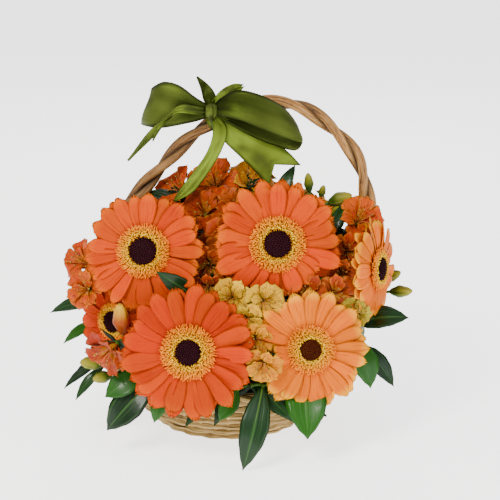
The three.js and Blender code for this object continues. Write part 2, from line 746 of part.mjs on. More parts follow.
// Gerberas. A petal that another flower pushes through is shortened: side is that direction's angle
// in degrees on the head, spread is half its sector, and reach is the share that is left.
const GERBERAS = [
  { at: [-68, -72, 167], facing: [-0.12, -0.93, 0.34], radius: 49, ring: 23.5, eye: 12, seed: 11 },
  {
    at: [40, -72, 173], facing: [0.05, -0.95, 0.3], radius: 53, ring: 25, eye: 12, seed: 22,
    short: { side: 280, spread: 48, reach: 0.8 },
  },
  { at: [-31, -116, 96], facing: [-0.06, -0.965, 0.25], radius: 54, ring: 24, eye: 11, seed: 33 },
  {
    at: [66, -103, 94], facing: [0.1, -0.96, 0.24], radius: 48, ring: 21.5, eye: 9, seed: 44,
    short: { side: 182, spread: 24, reach: 0.66 },
  },
  { at: [121, -56, 148], facing: [0.9, -0.42, 0.06], radius: 42, ring: 19, eye: 10, seed: 55 },
  {
    at: [-92, -62, 105], facing: [-0.55, -0.82, 0.12], radius: 39, ring: 17.5, eye: 9.5, seed: 66,
    short: { side: 120, spread: 25, reach: 0.84 },
  },
  { at: [22, 82, 142], facing: [0.12, 0.86, 0.5], radius: 48, ring: 22, eye: 10, seed: 77 },
];

// Alstroemeria sprays, one node each. Every spray is one stem that forks to its blooms and buds.
const SPRAYS = [
  {
    name: "alstroemeria_top_orange", colour: "orange",
    blooms: [
      { at: [-11, 2, 201], facing: [-0.05, -0.7, 0.7], radius: 21, seed: 1 },
      { at: [-36, 8, 194], facing: [-0.55, -0.5, 0.65], radius: 20, turn: 0.4, seed: 2 },
      { at: [-12, 34, 192], facing: [-0.2, 0.5, 0.85], radius: 19, seed: 27 },
    ],
  },
  {
    name: "alstroemeria_top_gold", colour: "gold",
    blooms: [
      { at: [15, 8, 198], facing: [0.35, -0.6, 0.7], radius: 20, seed: 3 },
      { at: [18, 36, 190], facing: [0.35, 0.45, 0.8], radius: 20, seed: 4 },
    ],
  },
  {
    name: "alstroemeria_rust", colour: "rust",
    blooms: [
      { at: [-47, -20, 182], facing: [-0.45, -0.8, 0.4], radius: 16, seed: 5 },
      { at: [-19, -18, 183], facing: [-0.1, -0.85, 0.5], radius: 19, turn: 0.3, seed: 6 },
      { at: [-27, -30, 171], facing: [-0.15, -0.97, 0.15], radius: 17, turn: 0.8, seed: 28 },
    ],
  },
  {
    name: "alstroemeria_bronze", colour: "bronze",
    blooms: [
      { at: [5, -18, 187], facing: [0.1, -0.85, 0.5], radius: 17, seed: 7 },
      { at: [-2, -36, 170], facing: [0, -0.97, 0.2], radius: 18, turn: 0.5, seed: 8 },
      { at: [-15, -50, 151], facing: [-0.1, -0.98, 0.05], radius: 17, seed: 9 },
      { at: [9, -54, 149], facing: [0.1, -0.98, 0.05], radius: 17, turn: 0.3, seed: 29 },
      { at: [-15, -64, 137], facing: [-0.05, -0.97, -0.1], radius: 14, turn: 0.7, seed: 31 },
    ],
  },
  {
    name: "alstroemeria_yellow", colour: "yellow",
    blooms: [
      { at: [4, -80, 131], facing: [-0.1, -0.95, 0.25], radius: 16, seed: 10 },
      { at: [28, -82, 129], facing: [0.15, -0.97, 0.2], radius: 16, turn: 0.5, seed: 11 },
      { at: [15, -88, 117], facing: [0, -0.98, 0], radius: 14, turn: 0.9, seed: 30 },
    ],
  },
  {
    name: "alstroemeria_low_gold", colour: "gold",
    blooms: [
      { at: [22, -98, 103], facing: [0.05, -0.98, 0], radius: 14, seed: 12 },
      { at: [29, -108, 87], facing: [-0.05, -0.98, -0.15], radius: 15, turn: 0.3, seed: 13 },
    ],
  },
  {
    name: "alstroemeria_right_orange", colour: "orange",
    blooms: [
      { at: [106, -18, 175], facing: [0.3, -0.75, 0.6], radius: 20, seed: 14 },
      { at: [97, -38, 158], facing: [0.15, -0.97, 0.2], radius: 17, turn: 0.4, seed: 15 },
    ],
  },
  {
    name: "alstroemeria_right_bronze", colour: "bronze",
    blooms: [
      { at: [64, -70, 132], facing: [0, -0.95, 0.3], radius: 16, seed: 16 },
      { at: [86, -66, 130], facing: [0.15, -0.95, 0.2], radius: 17, turn: 0.5, seed: 17 },
      { at: [92, -56, 145], facing: [0, -0.98, 0.15], radius: 13, turn: 0.2, seed: 32 },
    ],
  },
  {
    name: "alstroemeria_right_green", colour: "green",
    blooms: [{ at: [102, -72, 117], facing: [0.1, -0.98, 0.1], radius: 13, seed: 18 }],
    buds: [
      { at: [136, -22, 118], pointing: [0.9, -0.4, 0.15], length: 20, radius: 5 },
      { at: [131, -14, 126], pointing: [0.8, -0.3, 0.5], length: 17, radius: 4.5 },
    ],
  },
  {
    name: "alstroemeria_left_orange", colour: "orange", anchor: [-92, -24, 146],
    blooms: [
      { at: [-114, -32, 145], facing: [-0.7, -0.6, 0.45], radius: 18, seed: 19 },
      { at: [-113, -62, 132], facing: [-0.3, -0.93, 0.3], radius: 16, turn: 0.4, seed: 20 },
    ],
  },
  {
    name: "alstroemeria_left_red", colour: "rust", anchor: [-60, -90, 73],
    blooms: [
      { at: [-90, -88, 94], facing: [-0.55, -0.75, -0.35], radius: 20, seed: 21 },
    ],
    buds: [
      { at: [-84, -93, 104], pointing: [-0.1, -0.1, 1], length: 27, radius: 7 },
    ],
  },
  {
    name: "bud_spray_left", colour: "green", anchor: [-78, -54, 62],
    buds: [
      { at: [-102, -66, 70], pointing: [-0.85, -0.4, 0.15], length: 22, radius: 6 },
      { at: [-96, -70, 61], pointing: [-0.85, -0.4, -0.1], length: 17, radius: 5 },
    ],
  },
  {
    name: "alstroemeria_back_left", colour: "bronze",
    blooms: [
      { at: [-50, 52, 165], facing: [-0.5, 0.6, 0.6], radius: 21, seed: 22 },
      { at: [-74, 28, 148], facing: [-0.85, 0.3, 0.45], radius: 20, turn: 0.5, seed: 23 },
      { at: [-52, 84, 122], facing: [-0.4, 0.85, 0.3], radius: 20, seed: 24 },
      { at: [-16, 62, 174], facing: [-0.1, 0.8, 0.6], radius: 19, turn: 0.3, seed: 33 },
    ],
  },
  {
    name: "alstroemeria_back_right", colour: "yellow",
    blooms: [
      { at: [80, 34, 164], facing: [0.6, 0.4, 0.7], radius: 21, seed: 25 },
      { at: [84, 74, 120], facing: [0.6, 0.75, 0.25], radius: 20, turn: 0.5, seed: 26 },
      { at: [52, 44, 176], facing: [0.3, 0.6, 0.75], radius: 18, turn: 0.2, seed: 34 },
    ],
  },
  {
    name: "bud_spray_top_right", colour: "green",
    buds: [
      { at: [68, -4, 200], pointing: [-0.1, -0.1, 1], length: 17, radius: 4 },
      { at: [77, -8, 196], pointing: [0.2, -0.2, 0.9], length: 12, radius: 3 },
      { at: [84, -10, 192], pointing: [0.75, -0.3, 0.35], length: 22, radius: 6 },
      { at: [86, -12, 182], pointing: [0.4, -0.5, 0.5], length: 14, radius: 4 },
    ],
  },
];

// Leafy stems, one node each.
const LEAFY_STEMS = [
  {
    name: "leaves_left", anchor: [-94, -22, 96],
    leaves: [
      { from: [-108, -21, 108], to: [-150, -30, 102], half: 8, face: [-0.2, -0.5, 0.85] },
      { from: [-108, -24, 92], to: [-138, -46, 80], half: 6, face: [-0.2, -0.6, 0.8] },
    ],
  },
  {
    name: "leaves_left_low", anchor: [-99, -44, 66],
    leaves: [
      { from: [-104, -52, 67], to: [-137, -60, 45], half: 5, face: [-0.4, -0.6, 0.7] },
      { from: [-103, -56, 64], to: [-127, -66, 37], half: 5, face: [-0.3, -0.7, 0.6] },
      { from: [-104, -38, 66], to: [-134, -34, 40], half: 9, face: [-0.7, -0.1, 0.7] },
    ],
  },
  {
    name: "leaves_front_left", anchor: [-66, -78, 66],
    leaves: [
      { from: [-70, -86, 68], to: [-100, -94, 50], half: 11, face: [-0.2, -0.85, 0.5] },
      { from: [-62, -88, 62], to: [-99, -96, 22], half: 14, face: [-0.2, -0.9, 0.4] },
      { from: [-52, -92, 58], to: [-60, -102, 31], half: 7, face: [0, -0.95, 0.3] },
    ],
  },
  {
    name: "leaves_front", anchor: [20, -100, 63],
    leaves: [
      { from: [28, -106, 64], to: [12, -130, 1], half: 12, face: [0.1, -0.95, 0.3], bow: 0.14 },
      { from: [8, -104, 60], to: [-7, -116, 38], half: 8, face: [0, -0.95, 0.3] },
      { from: [34, -100, 62], to: [50, -108, 52], half: 7, face: [0, -0.8, 0.6] },
    ],
  },
  {
    name: "leaves_front_right", anchor: [62, -86, 66],
    leaves: [
      { from: [62, -92, 68], to: [64, -126, 26], half: 17, face: [0, -0.8, 0.6], bow: 0.1 },
      { from: [74, -86, 68], to: [96, -104, 57], half: 9, face: [0.2, -0.8, 0.5] },
    ],
  },
  {
    name: "leaves_right", anchor: [98, -46, 84],
    leaves: [
      { from: [104, -54, 100], to: [149, -57, 106], half: 12, face: [0.1, -0.6, 0.8] },
      { from: [104, -56, 86], to: [117, -78, 52], half: 13, face: [0.4, -0.85, 0.3] },
      { from: [110, -42, 78], to: [138, -55, 45], half: 9, face: [0.5, -0.8, 0.3] },
    ],
  },
  {
    name: "leaf_between", anchor: [-32, -66, 122],
    leaves: [{ from: [-26, -76, 130], to: [-57, -92, 156], half: 8, face: [0, -0.9, 0.3] }],
  },
  {
    name: "leaf_behind", anchor: [34, -6, 176],
    leaves: [{ from: [38, -8, 190], to: [56, 2, 222], half: 6, face: [-0.2, -0.9, 0.1] }],
  },
  {
    name: "leaves_back_left", anchor: [-76, 62, 68],
    leaves: [
      { from: [-82, 68, 70], to: [-112, 100, 36], half: 13, face: [-0.6, 0.6, 0.6] },
      { from: [-92, 42, 74], to: [-132, 50, 58], half: 11, face: [-0.5, 0.1, 0.85] },
      { from: [-60, 86, 70], to: [-72, 122, 48], half: 12, face: [-0.2, 0.7, 0.7] },
    ],
  },
  {
    name: "leaves_back", anchor: [4, 96, 70],
    leaves: [
      { from: [4, 102, 70], to: [-6, 138, 34], half: 14, face: [0, 0.8, 0.6] },
      { from: [-20, 98, 72], to: [-42, 130, 62], half: 11, face: [-0.1, 0.5, 0.85] },
      { from: [28, 100, 70], to: [46, 134, 44], half: 12, face: [0.2, 0.7, 0.7] },
    ],
  },
  {
    name: "leaves_back_right", anchor: [82, 56, 72],
    leaves: [
      { from: [88, 62, 74], to: [122, 88, 42], half: 13, face: [0.6, 0.5, 0.6] },
      { from: [98, 34, 78], to: [140, 38, 70], half: 11, face: [0.4, 0.1, 0.9] },
      { from: [70, 78, 70], to: [86, 116, 50], half: 12, face: [0.3, 0.7, 0.7] },
    ],
  },
];

// The fork of a spray: behind its flowers, on the way to the foam.
function forkOf({ blooms = [], buds = [] }) {
  const backs = [
    ...blooms.map(({ at, facing }) => vector(at).addScaledVector(vector(facing).normalize(), -14)),
    ...buds.map(({ at, pointing }) => vector(at).addScaledVector(vector(pointing).normalize(), -8)),
  ];
  const mean = backs.reduce((sum, back) => sum.add(back), new V()).divideScalar(backs.length);
  const inward = STEM_CENTRE.clone().sub(mean).normalize();
  return mean.addScaledVector(inward, 20).toArray();
}

for (const spray of SPRAYS) spray.anchor ??= forkOf(spray);

const headPull = ({ at, facing }) => vector(at).addScaledVector(vector(facing).normalize(), -38);
const stems = [
  ...GERBERAS.map((gerbera) => ({ direction: headPull(gerbera) })),
  ...[...SPRAYS, ...LEAFY_STEMS].map(({ anchor }) => ({ direction: vector(anchor) })),
];
for (const stem of stems) stem.direction.sub(STEM_CENTRE).normalize();
const directions = stems.map(({ direction }) => direction);
spread(directions);

function shortened(short, petal) {
  if (!short) return 1;
  const angle = (petal / GERBERA_PETALS) * 360;
  const away = Math.abs(((angle - short.side + 540) % 360) - 180);
  return away < short.spread ? short.reach : 1;
}

// The build, from the pieces that give way to nothing to the leaves that give way to all.
addPiece("basket_bowl", basketBowl(), COLOURS.basket, 0.8);
addPiece("basket_border", basketBorder(), COLOURS.basket, 0.8);
addPiece("liner_bowl", linerBowl(), COLOURS.liner, 0.4);
const holes = directions.map((direction, i) => {
  const thick = i < GERBERAS.length;
  return stemHole(direction, thick ? GERBERA_STEM_RADIUS : SPRAY_STEM_RADIUS, thick ? 6 : 4);
});
addPiece("floral_foam", foamBlock().subtract(wasm.Manifold.union(holes)), COLOURS.foam, 1);
addPiece("basket_handle", basketHandle(), COLOURS.handle, 0.75);
addPiece("ribbon_bow", ribbonBow(), COLOURS.ribbon, 0.35);

GERBERAS.forEach((gerbera, i) => {
  const name = `gerbera_${i + 1}`;
  const matrix = placed(gerbera.at, gerbera.facing);
  addPiece(`${name}_petals`, atPlace(gerberaPetals(gerbera), matrix), COLOURS.gerberaPetal, 0.6);
  addPiece(`${name}_ring`, atPlace(gerberaRing(gerbera.ring), matrix), COLOURS.gerberaRing, 0.8);
  addPiece(`${name}_eye`, atPlace(gerberaEye(gerbera.eye, EYE_HEIGHT), matrix), COLOURS.gerberaEye, 0.9);
  addPiece(`${name}_stem`, gerberaStem(gerbera.at, gerbera.facing, directions[i]), COLOURS.stem, 0.6);
});

function stemAndParts(plant, direction) {
  const fork = vector(plant.anchor);
  const line = stemLine(fork, direction.clone().negate(), direction, 3);
  const stem = tube(line, 4, () => SPRAY_STEM_RADIUS);
  return wasm.Manifold.union([stem, ...sprayParts(plant, direction)]).simplify(0.1);
}

[...SPRAYS, ...LEAFY_STEMS].forEach((plant, i) => {
  const direction = directions[GERBERAS.length + i];
  const colour = COLOURS[plant.colour ?? "leaf"];
  addPiece(plant.name, stemAndParts(plant, direction), colour, 0.5);
});

export default root;
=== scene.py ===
"""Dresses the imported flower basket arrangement: a woven basket with a twisted handle and a satin bow,
filled with gerberas, alstroemeria sprays, buds and glossy leaves.

The lengths in the tables are millimetres in the part's own frame; every mesh is made in metres.
"""

import json
import logging
import math
import random
from dataclasses import dataclass
from enum import Enum
from typing import Optional, Sequence

import bpy
from mathutils import Matrix, Vector

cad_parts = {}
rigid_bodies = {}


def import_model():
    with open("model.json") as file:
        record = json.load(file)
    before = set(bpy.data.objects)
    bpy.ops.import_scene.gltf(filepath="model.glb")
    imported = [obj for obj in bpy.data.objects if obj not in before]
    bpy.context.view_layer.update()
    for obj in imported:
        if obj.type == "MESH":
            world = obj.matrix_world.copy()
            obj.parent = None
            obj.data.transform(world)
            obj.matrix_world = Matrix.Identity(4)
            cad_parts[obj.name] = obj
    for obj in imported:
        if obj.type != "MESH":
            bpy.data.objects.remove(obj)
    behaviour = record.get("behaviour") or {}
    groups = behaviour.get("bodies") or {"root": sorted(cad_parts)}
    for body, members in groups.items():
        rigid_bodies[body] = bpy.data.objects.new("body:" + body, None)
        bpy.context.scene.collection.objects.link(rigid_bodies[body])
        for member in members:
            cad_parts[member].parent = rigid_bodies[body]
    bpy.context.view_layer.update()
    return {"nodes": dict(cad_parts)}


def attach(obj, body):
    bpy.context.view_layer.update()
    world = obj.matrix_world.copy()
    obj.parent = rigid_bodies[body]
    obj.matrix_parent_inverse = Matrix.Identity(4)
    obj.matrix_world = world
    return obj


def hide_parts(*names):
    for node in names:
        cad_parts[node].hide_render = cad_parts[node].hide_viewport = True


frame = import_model()

LOG = logging.getLogger("flower_basket")
MM = 0.001
GOLDEN_ANGLE = math.pi * (3 - math.sqrt(5))
UP = Vector((0, 0, 1))

Triple = tuple[float, float, float]
Piece = bpy.types.Object
Material = bpy.types.Material
Socket = bpy.types.NodeSocket
Outputs = bpy.types.bpy_prop_collection


def srgb(code: str) -> tuple[float, float, float, float]:
    """Turns an sRGB colour into linear light.

    Args:
        code: Six hex digits, such as "e8692c".

    Returns:
        Linear red, green and blue, and 1.
    """
    parts = [int(code[i : i + 2], 16) / 255 for i in (0, 2, 4)]
    linear = [c / 12.92 if c <= 0.04045 else ((c + 0.055) / 1.055) ** 2.4 for c in parts]
    return (*linear, 1.0)


def spread(count: int, low: float = 0.0) -> list[float]:
    """Spreads values evenly from low, which is 0 or -1, to 1."""
    return [i / (count - 1) * (1 - low) + low for i in range(count)]


def spline(points: Sequence[Vector], count: int) -> list[Vector]:
    """Runs a smooth line through points.

    Args:
        points: The points that the line passes through.
        count: How many points the line gets.

    Returns:
        Points spaced evenly in the line's parameter.
    """
    last = len(points) - 1
    line = []
    for share in spread(count):
        t = share * last
        k = min(int(t), last - 1)
        f = t - k
        p1, p2 = points[k], points[k + 1]
        p0 = points[k - 1] if k else p1 * 2 - p2
        p3 = points[k + 2] if k + 2 <= last else p2 * 2 - p1
        bend = (2 * p0 - 5 * p1 + 4 * p2 - p3) * f * f
        sway = (3 * p1 - p0 - 3 * p2 + p3) * f**3
        line.append(0.5 * (2 * p1 + (p2 - p0) * f + bend + sway))
    return line


def bezier(knots: Sequence[Vector], count: int) -> list[Vector]:
    """Runs a cubic curve from the first of four knots to the last.

    Args:
        knots: The start, two knots that pull the curve, and the end.
        count: How many points the curve gets.

    Returns:
        The curve's points.
    """
    line = []
    for t in spread(count):
        shares = ((1 - t) ** 3, 3 * t * (1 - t) ** 2, 3 * t * t * (1 - t), t**3)
        line.append(sum((knot * share for knot, share in zip(knots, shares)), Vector()))
    return line


def profile_at(table: Sequence[tuple[float, float]], t: float) -> float:
    """Reads a value from a table, with an eased step between its entries.

    Args:
        table: (place, value) pairs.
        t: The place.

    Returns:
        The value there.
    """
    for (t0, v0), (t1, v1) in zip(table, table[1:]):
        if t <= t1:
            f = (t - t0) / (t1 - t0)
            return v0 + (v1 - v0) * (f * f * (3 - 2 * f) * 0.5 + f * 0.5)
    return table[-1][1]


def placed(at: Triple, facing: Triple, turn: float = 0.0) -> Matrix:
    """Places a flower head whose own +Z looks along facing.

    Args:
        at: The head's centre, in millimetres.
        facing: The direction that the head looks in.
        turn: A turn about that direction, in radians.

    Returns:
        The matrix from the head's own millimetres to the part's millimetres.
    """
    z = Vector(facing).normalized()
    x = (Vector((0, 1, 0)) if abs(z.z) > 0.97 else UP).cross(z).normalized()
    matrix = Matrix((x, z.cross(x), z)).transposed().to_4x4()
    matrix.translation = Vector(at)
    return matrix @ Matrix.Rotation(turn, 4, "Z")


def show(name: str, data: bpy.types.ID) -> Piece:
    """Puts an object in the scene.

    Args:
        name: The object's name.
        data: Its mesh or curve.

    Returns:
        The object.
    """
    obj = bpy.data.objects.new(name, data)
    bpy.context.scene.collection.objects.link(obj)
    return obj


class MeshDraft:
    """Gathers points, faces, UVs, finishes and tones, and turns them into one mesh piece."""

    def __init__(self) -> None:
        """Starts with an empty mesh."""
        self.points: list[Vector] = []
        self.tones: list[float] = []
        self.faces: list[list[int]] = []
        self.uvs: list[list[tuple[float, float]]] = []
        self.slots: list[int] = []
        self.matrix = Matrix.Identity(4)

    def point(self, place: Vector, tone: float) -> int:
        """Adds a point.

        Args:
            place: The point, before the draft's matrix.
            tone: Its tone, from 0 to 1.

        Returns:
            The point's index.
        """
        self.points.append(self.matrix @ place)
        self.tones.append(tone)
        return len(self.points) - 1

    def face(self, corners: list[int], uvs: list[tuple[float, float]], slot: int) -> None:
        """Adds a face.

        Args:
            corners: Its points' indices.
            uvs: A UV for each corner.
            slot: The finish's index.
        """
        self.faces.append(corners)
        self.uvs.append(uvs)
        self.slots.append(slot)

    def walls(self, rings: Sequence[list[int]], slot: int) -> None:
        """Joins each ring of points to the next one with faces.

        Args:
            rings: The rings' point indices.
            slot: The finish's index.
        """
        sides, last = len(rings[0]), len(rings) - 1
        for i in range(last):
            for j in range(sides):
                k = (j + 1) % sides
                ids = [rings[i][j], rings[i][k], rings[i + 1][k], rings[i + 1][j]]
                u0, u1, v0, v1 = j / sides, (j + 1) / sides, i / last, (i + 1) / last
                self.face(ids, [(u0, v0), (u1, v0), (u1, v1), (u0, v1)], slot)

    def blade(self, rows: list[list[Vector]], thickness: float, slot: int, tone: float = 0.5) -> None:
        """Adds a thin closed blade, such as a petal, a leaf or a length of ribbon.

        Args:
            rows: Rows of points across the blade, from its root to its tip.
            thickness: The blade's thickness away from its edges.
            slot: The finish's index.
            tone: The blade's own tone, from 0 to 1, by which the finish varies.
        """
        high, wide = len(rows), len(rows[0])
        front, back = [], []
        for j, row in enumerate(rows):
            front.append([])
            back.append([])
            for i, place in enumerate(row):
                across = row[min(i + 1, wide - 1)] - row[max(i - 1, 0)]
                along = rows[min(j + 1, high - 1)][i] - rows[max(j - 1, 0)][i]
                lift = across.cross(along).normalized() * thickness / 2
                on_edge = i in (0, wide - 1) or j in (0, high - 1)
                front[j].append(self.point(place if on_edge else place + lift, tone))
                back[j].append(front[j][i] if on_edge else self.point(place - lift, tone))
        for j in range(high - 1):
            for i in range(wide - 1):
                corners = ((j, i), (j, i + 1), (j + 1, i + 1), (j + 1, i))
                uvs = [(b / (wide - 1), a / (high - 1)) for a, b in corners]
                self.face([front[a][b] for a, b in corners], uvs, slot)
                self.face([back[a][b] for a, b in corners][::-1], uvs[::-1], slot)

    def tube(
        self, path: Sequence[Vector], radii: Sequence[float], sides: int, slot: int,
        tone: float = 0.5, ribs: float = 0.0,
    ) -> None:
        """Adds a closed tube along a path.

        Args:
            path: The points of its centre line.
            radii: Its radius at each point.
            sides: How many sides it has.
            slot: The finish's index.
            tone: Its tone, from 0 to 1.
            ribs: How far every second side stands out, as a share of the radius.
        """
        last = len(path) - 1
        normal: Optional[Vector] = None
        rings = []
        for i, place in enumerate(path):
            tangent = (path[min(i + 1, last)] - path[max(i - 1, 0)]).normalized()
            if normal is None:
                normal = UP.copy() if abs(tangent.z) < 0.9 else Vector((1, 0, 0))
            normal = (normal - tangent * normal.dot(tangent)).normalized()
            side = tangent.cross(normal)
            rings.append([])
            for j in range(sides):
                angle = j / sides * math.tau
                reach = radii[i] * (1 + (ribs if j % 2 else 0))
                offset = normal * math.cos(angle) + side * math.sin(angle)
                rings[i].append(self.point(place + offset * reach, tone))
        self.walls(rings, slot)
        self.face(rings[0][::-1], [(0.5, 0.0)] * sides, slot)
        self.face(rings[-1], [(0.5, 1.0)] * sides, slot)

    def lathe(self, profile: Sequence[tuple[float, float]], sides: int, slot: int, tone: float = 0.5) -> None:
        """Adds a closed solid of revolution about the draft's own Z axis.

        Args:
            profile: (radius, height) pairs from the axis below to the axis above.
            sides: How many sides it has.
            slot: The finish's index.
            tone: Its tone, from 0 to 1.
        """
        low, high = [self.point(Vector((0, 0, profile[k][1])), tone) for k in (0, -1)]
        angles = [j / sides * math.tau for j in range(sides)]
        rings = [
            [self.point(Vector((r * math.cos(a), r * math.sin(a), z)), tone) for a in angles]
            for r, z in profile[1:-1]
        ]
        self.walls(rings, slot)
        for j in range(sides):
            k = (j + 1) % sides
            self.face([low, rings[0][k], rings[0][j]], [(j / sides, 0.0)] * 3, slot)
            self.face([high, rings[-1][j], rings[-1][k]], [(j / sides, 1.0)] * 3, slot)

    def mesh(self, name: str, finishes: Sequence[Material]) -> bpy.types.Mesh:
        """Makes the Blender mesh, in metres.

        Args:
            name: The mesh's name.
            finishes: The materials that the slot indices count in.

        Returns:
            The mesh, smooth shaded, with its UV map and its tone attribute.
        """
        mesh = bpy.data.meshes.new(name)
        mesh.from_pydata([p * MM for p in self.points], [], self.faces)
        flat = [c for uvs in self.uvs for uv in uvs for c in uv]
        mesh.uv_layers.new(name="UVMap").data.foreach_set("uv", flat)
        mesh.attributes.new("tone", "FLOAT", "POINT").data.foreach_set("value", self.tones)
        for finish in finishes:
            mesh.materials.append(finish)
        mesh.polygons.foreach_set("material_index", self.slots)
        mesh.polygons.foreach_set("use_smooth", [True] * len(self.faces))
        mesh.update()
        return mesh

    def piece(self, name: str, finishes: Sequence[Material]) -> Piece:
        """Makes the mesh and an object in the scene that shows it."""
        return show(name, self.mesh(name, finishes))


def hand_over(piece: Piece, slot: str, *nodes: str) -> None:
    """Rides a piece on the part and hides the solids that it replaces.

    Args:
        piece: The finished piece.
        slot: The record's material slot; not used.
        nodes: The solids that it replaces.
    """
    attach(piece, "root")
    if nodes:
        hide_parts(*nodes)
    LOG.info("%s: %d faces", piece.name, len(piece.data.polygons))


def add_node(
    tree: bpy.types.NodeTree, kind: str, links: Optional[dict] = None, **settings: object
) -> bpy.types.Node:
    """Adds a node to a tree, with its settings, values and links.

    Args:
        tree: The shader or geometry tree.
        kind: The node's type name.
        links: Input name or index, to a value or to another node's output socket.
        settings: The node's own properties; stops are a colour ramp's (place, hex colour) pairs.

    Returns:
        The new node.
    """
    node = tree.nodes.new(kind)
    for i, (at, code) in enumerate(settings.pop("stops", ())):
        elements = node.color_ramp.elements
        element = elements[i] if i < 2 else elements.new(at)
        element.position = at
        element.color = srgb(code)
    for key, value in settings.items():
        setattr(node, key, value)
    for key, value in (links or {}).items():
        if isinstance(value, Socket):
            tree.links.new(value, node.inputs[key])
        else:
            node.inputs[key].default_value = value
    return node


# The kinds of node that are used again and again.
MATH, VECTOR_MATH, COMBINE = "ShaderNodeMath", "ShaderNodeVectorMath", "ShaderNodeCombineXYZ"
RANGE, RAMP, MIX = "ShaderNodeMapRange", "ShaderNodeValToRGB", "ShaderNodeMix"
NOISE, ATTRIBUTE = "ShaderNodeTexNoise", "ShaderNodeAttribute"
STORE = "GeometryNodeStoreNamedAttribute"
# A Mix node's colour sockets are found by number, because their names repeat.
SHARE, UNDER, OVER, MIXED = 0, 6, 7, 2


class Surface:
    """One material while it is put together: a Principled shader and the nodes that feed it."""

    def __init__(self, name: str, **sockets: object) -> None:
        """Starts the material.

        Args:
            name: The material's name.
            sockets: The shader's constant inputs, with spaces as underscores, and their values.
        """
        self.material = bpy.data.materials.new(name)
        self.material.use_nodes = True
        self.tree = self.material.node_tree
        self.tree.nodes.clear()
        constants = {key.replace("_", " "): value for key, value in sockets.items()}
        self.shader = add_node(self.tree, "ShaderNodeBsdfPrincipled", constants)
        self.add("ShaderNodeOutputMaterial", {"Surface": self.shader.outputs["BSDF"]})

    def add(self, kind: str, links: Optional[dict] = None, **settings: object) -> Outputs:
        """Adds a node to this material and returns its outputs."""
        return add_node(self.tree, kind, links, **settings).outputs

    def place(self) -> Outputs:
        """Reads the place on the piece's own UV map: X runs across it and Y along it."""
        uv = self.add("ShaderNodeUVMap", uv_map="UVMap")[0]
        return self.add("ShaderNodeSeparateXYZ", {0: uv})

    def off_middle(self, across: Socket) -> Socket:
        """Measures how far a place is from the middle of the width, from 0 to 0.5."""
        off = self.add(MATH, {0: across, 1: 0.5}, operation="SUBTRACT")[0]
        return self.add(MATH, {0: off}, operation="ABSOLUTE")[0]

    def toned(self, colour: Socket, measure: dict, over: str = "") -> Socket:
        """Lays another colour over a colour by a measure, or shades it where there is no other.

        Args:
            colour: The colour below.
            measure: The measure and its range, as a Map Range node's inputs.
            over: The hex colour on top.

        Returns:
            The new colour output.
        """
        share = self.add(RANGE, measure)[0]
        if over:
            return self.add(MIX, {SHARE: share, UNDER: colour, OVER: srgb(over)}, data_type="RGBA")[MIXED]
        shaded = {SHARE: 1.0, UNDER: colour, OVER: share}
        return self.add(MIX, shaded, data_type="RGBA", blend_type="MULTIPLY")[MIXED]

    def varied(self, colour: Socket, hue: float, value: float) -> Socket:
        """Shifts a colour a little by each part's own tone.

        Args:
            colour: The colour to vary.
            hue: The hue's whole range, as a share of the wheel.
            value: The brightness's whole range.

        Returns:
            The varied colour output.
        """
        tone = self.add(ATTRIBUTE, attribute_name="tone")["Fac"]
        turn = {"Value": tone, "To Min": 0.5 - hue / 2, "To Max": 0.5 + hue / 2}
        turn = self.add(RANGE, turn)[0]
        other = self.add(MATH, {0: tone, 1: 7.31}, operation="MULTIPLY")[0]
        other = self.add(MATH, {0: other}, operation="FRACT")[0]
        light = {"Value": other, "To Min": 1 - value / 2, "To Max": 1 + value / 2}
        light = self.add(RANGE, light)[0]
        return self.add("ShaderNodeHueSaturation", {"Color": colour, "Hue": turn, "Value": light})[0]

    def streaks(self, across: float, along: float, detail: float = 3.0) -> Socket:
        """Adds noise that is drawn out along a piece's own length, as veins and threads are.

        Args:
            across: Streaks across the piece: its width divided by their spacing.
            along: Changes along the piece's length.
            detail: The noise's detail.

        Returns:
            The noise's value output.
        """
        uv = self.add("ShaderNodeUVMap", uv_map="UVMap")[0]
        tone = self.add(ATTRIBUTE, attribute_name="tone")["Fac"]
        shift = self.add(MATH, {0: tone, 1: 31.0}, operation="MULTIPLY")[0]
        spot = {0: uv, 1: (across, along, 1), 2: self.add(COMBINE, {"Z": shift})[0]}
        spot = self.add(VECTOR_MATH, spot, operation="MULTIPLY_ADD")[0]
        return self.add(NOISE, {"Vector": spot, "Scale": 1.0, "Detail": detail, "Roughness": 0.6})[0]

    def finish(self, colour: Socket, relief: Optional[Socket] = None, depth: float = 0.4) -> Material:
        """Ends the material.

        Args:
            colour: The shader's base colour.
            relief: The height of the fine relief, if it has one.
            depth: The relief's whole depth, in millimetres.

        Returns:
            The material.
        """
        self.tree.links.new(colour, self.shader.inputs["Base Color"])
        if relief:
            bump = self.add("ShaderNodeBump", {"Height": relief, "Distance": depth * MM, "Strength": 0.8})
            self.tree.links.new(bump[0], self.shader.inputs["Normal"])
        return self.material


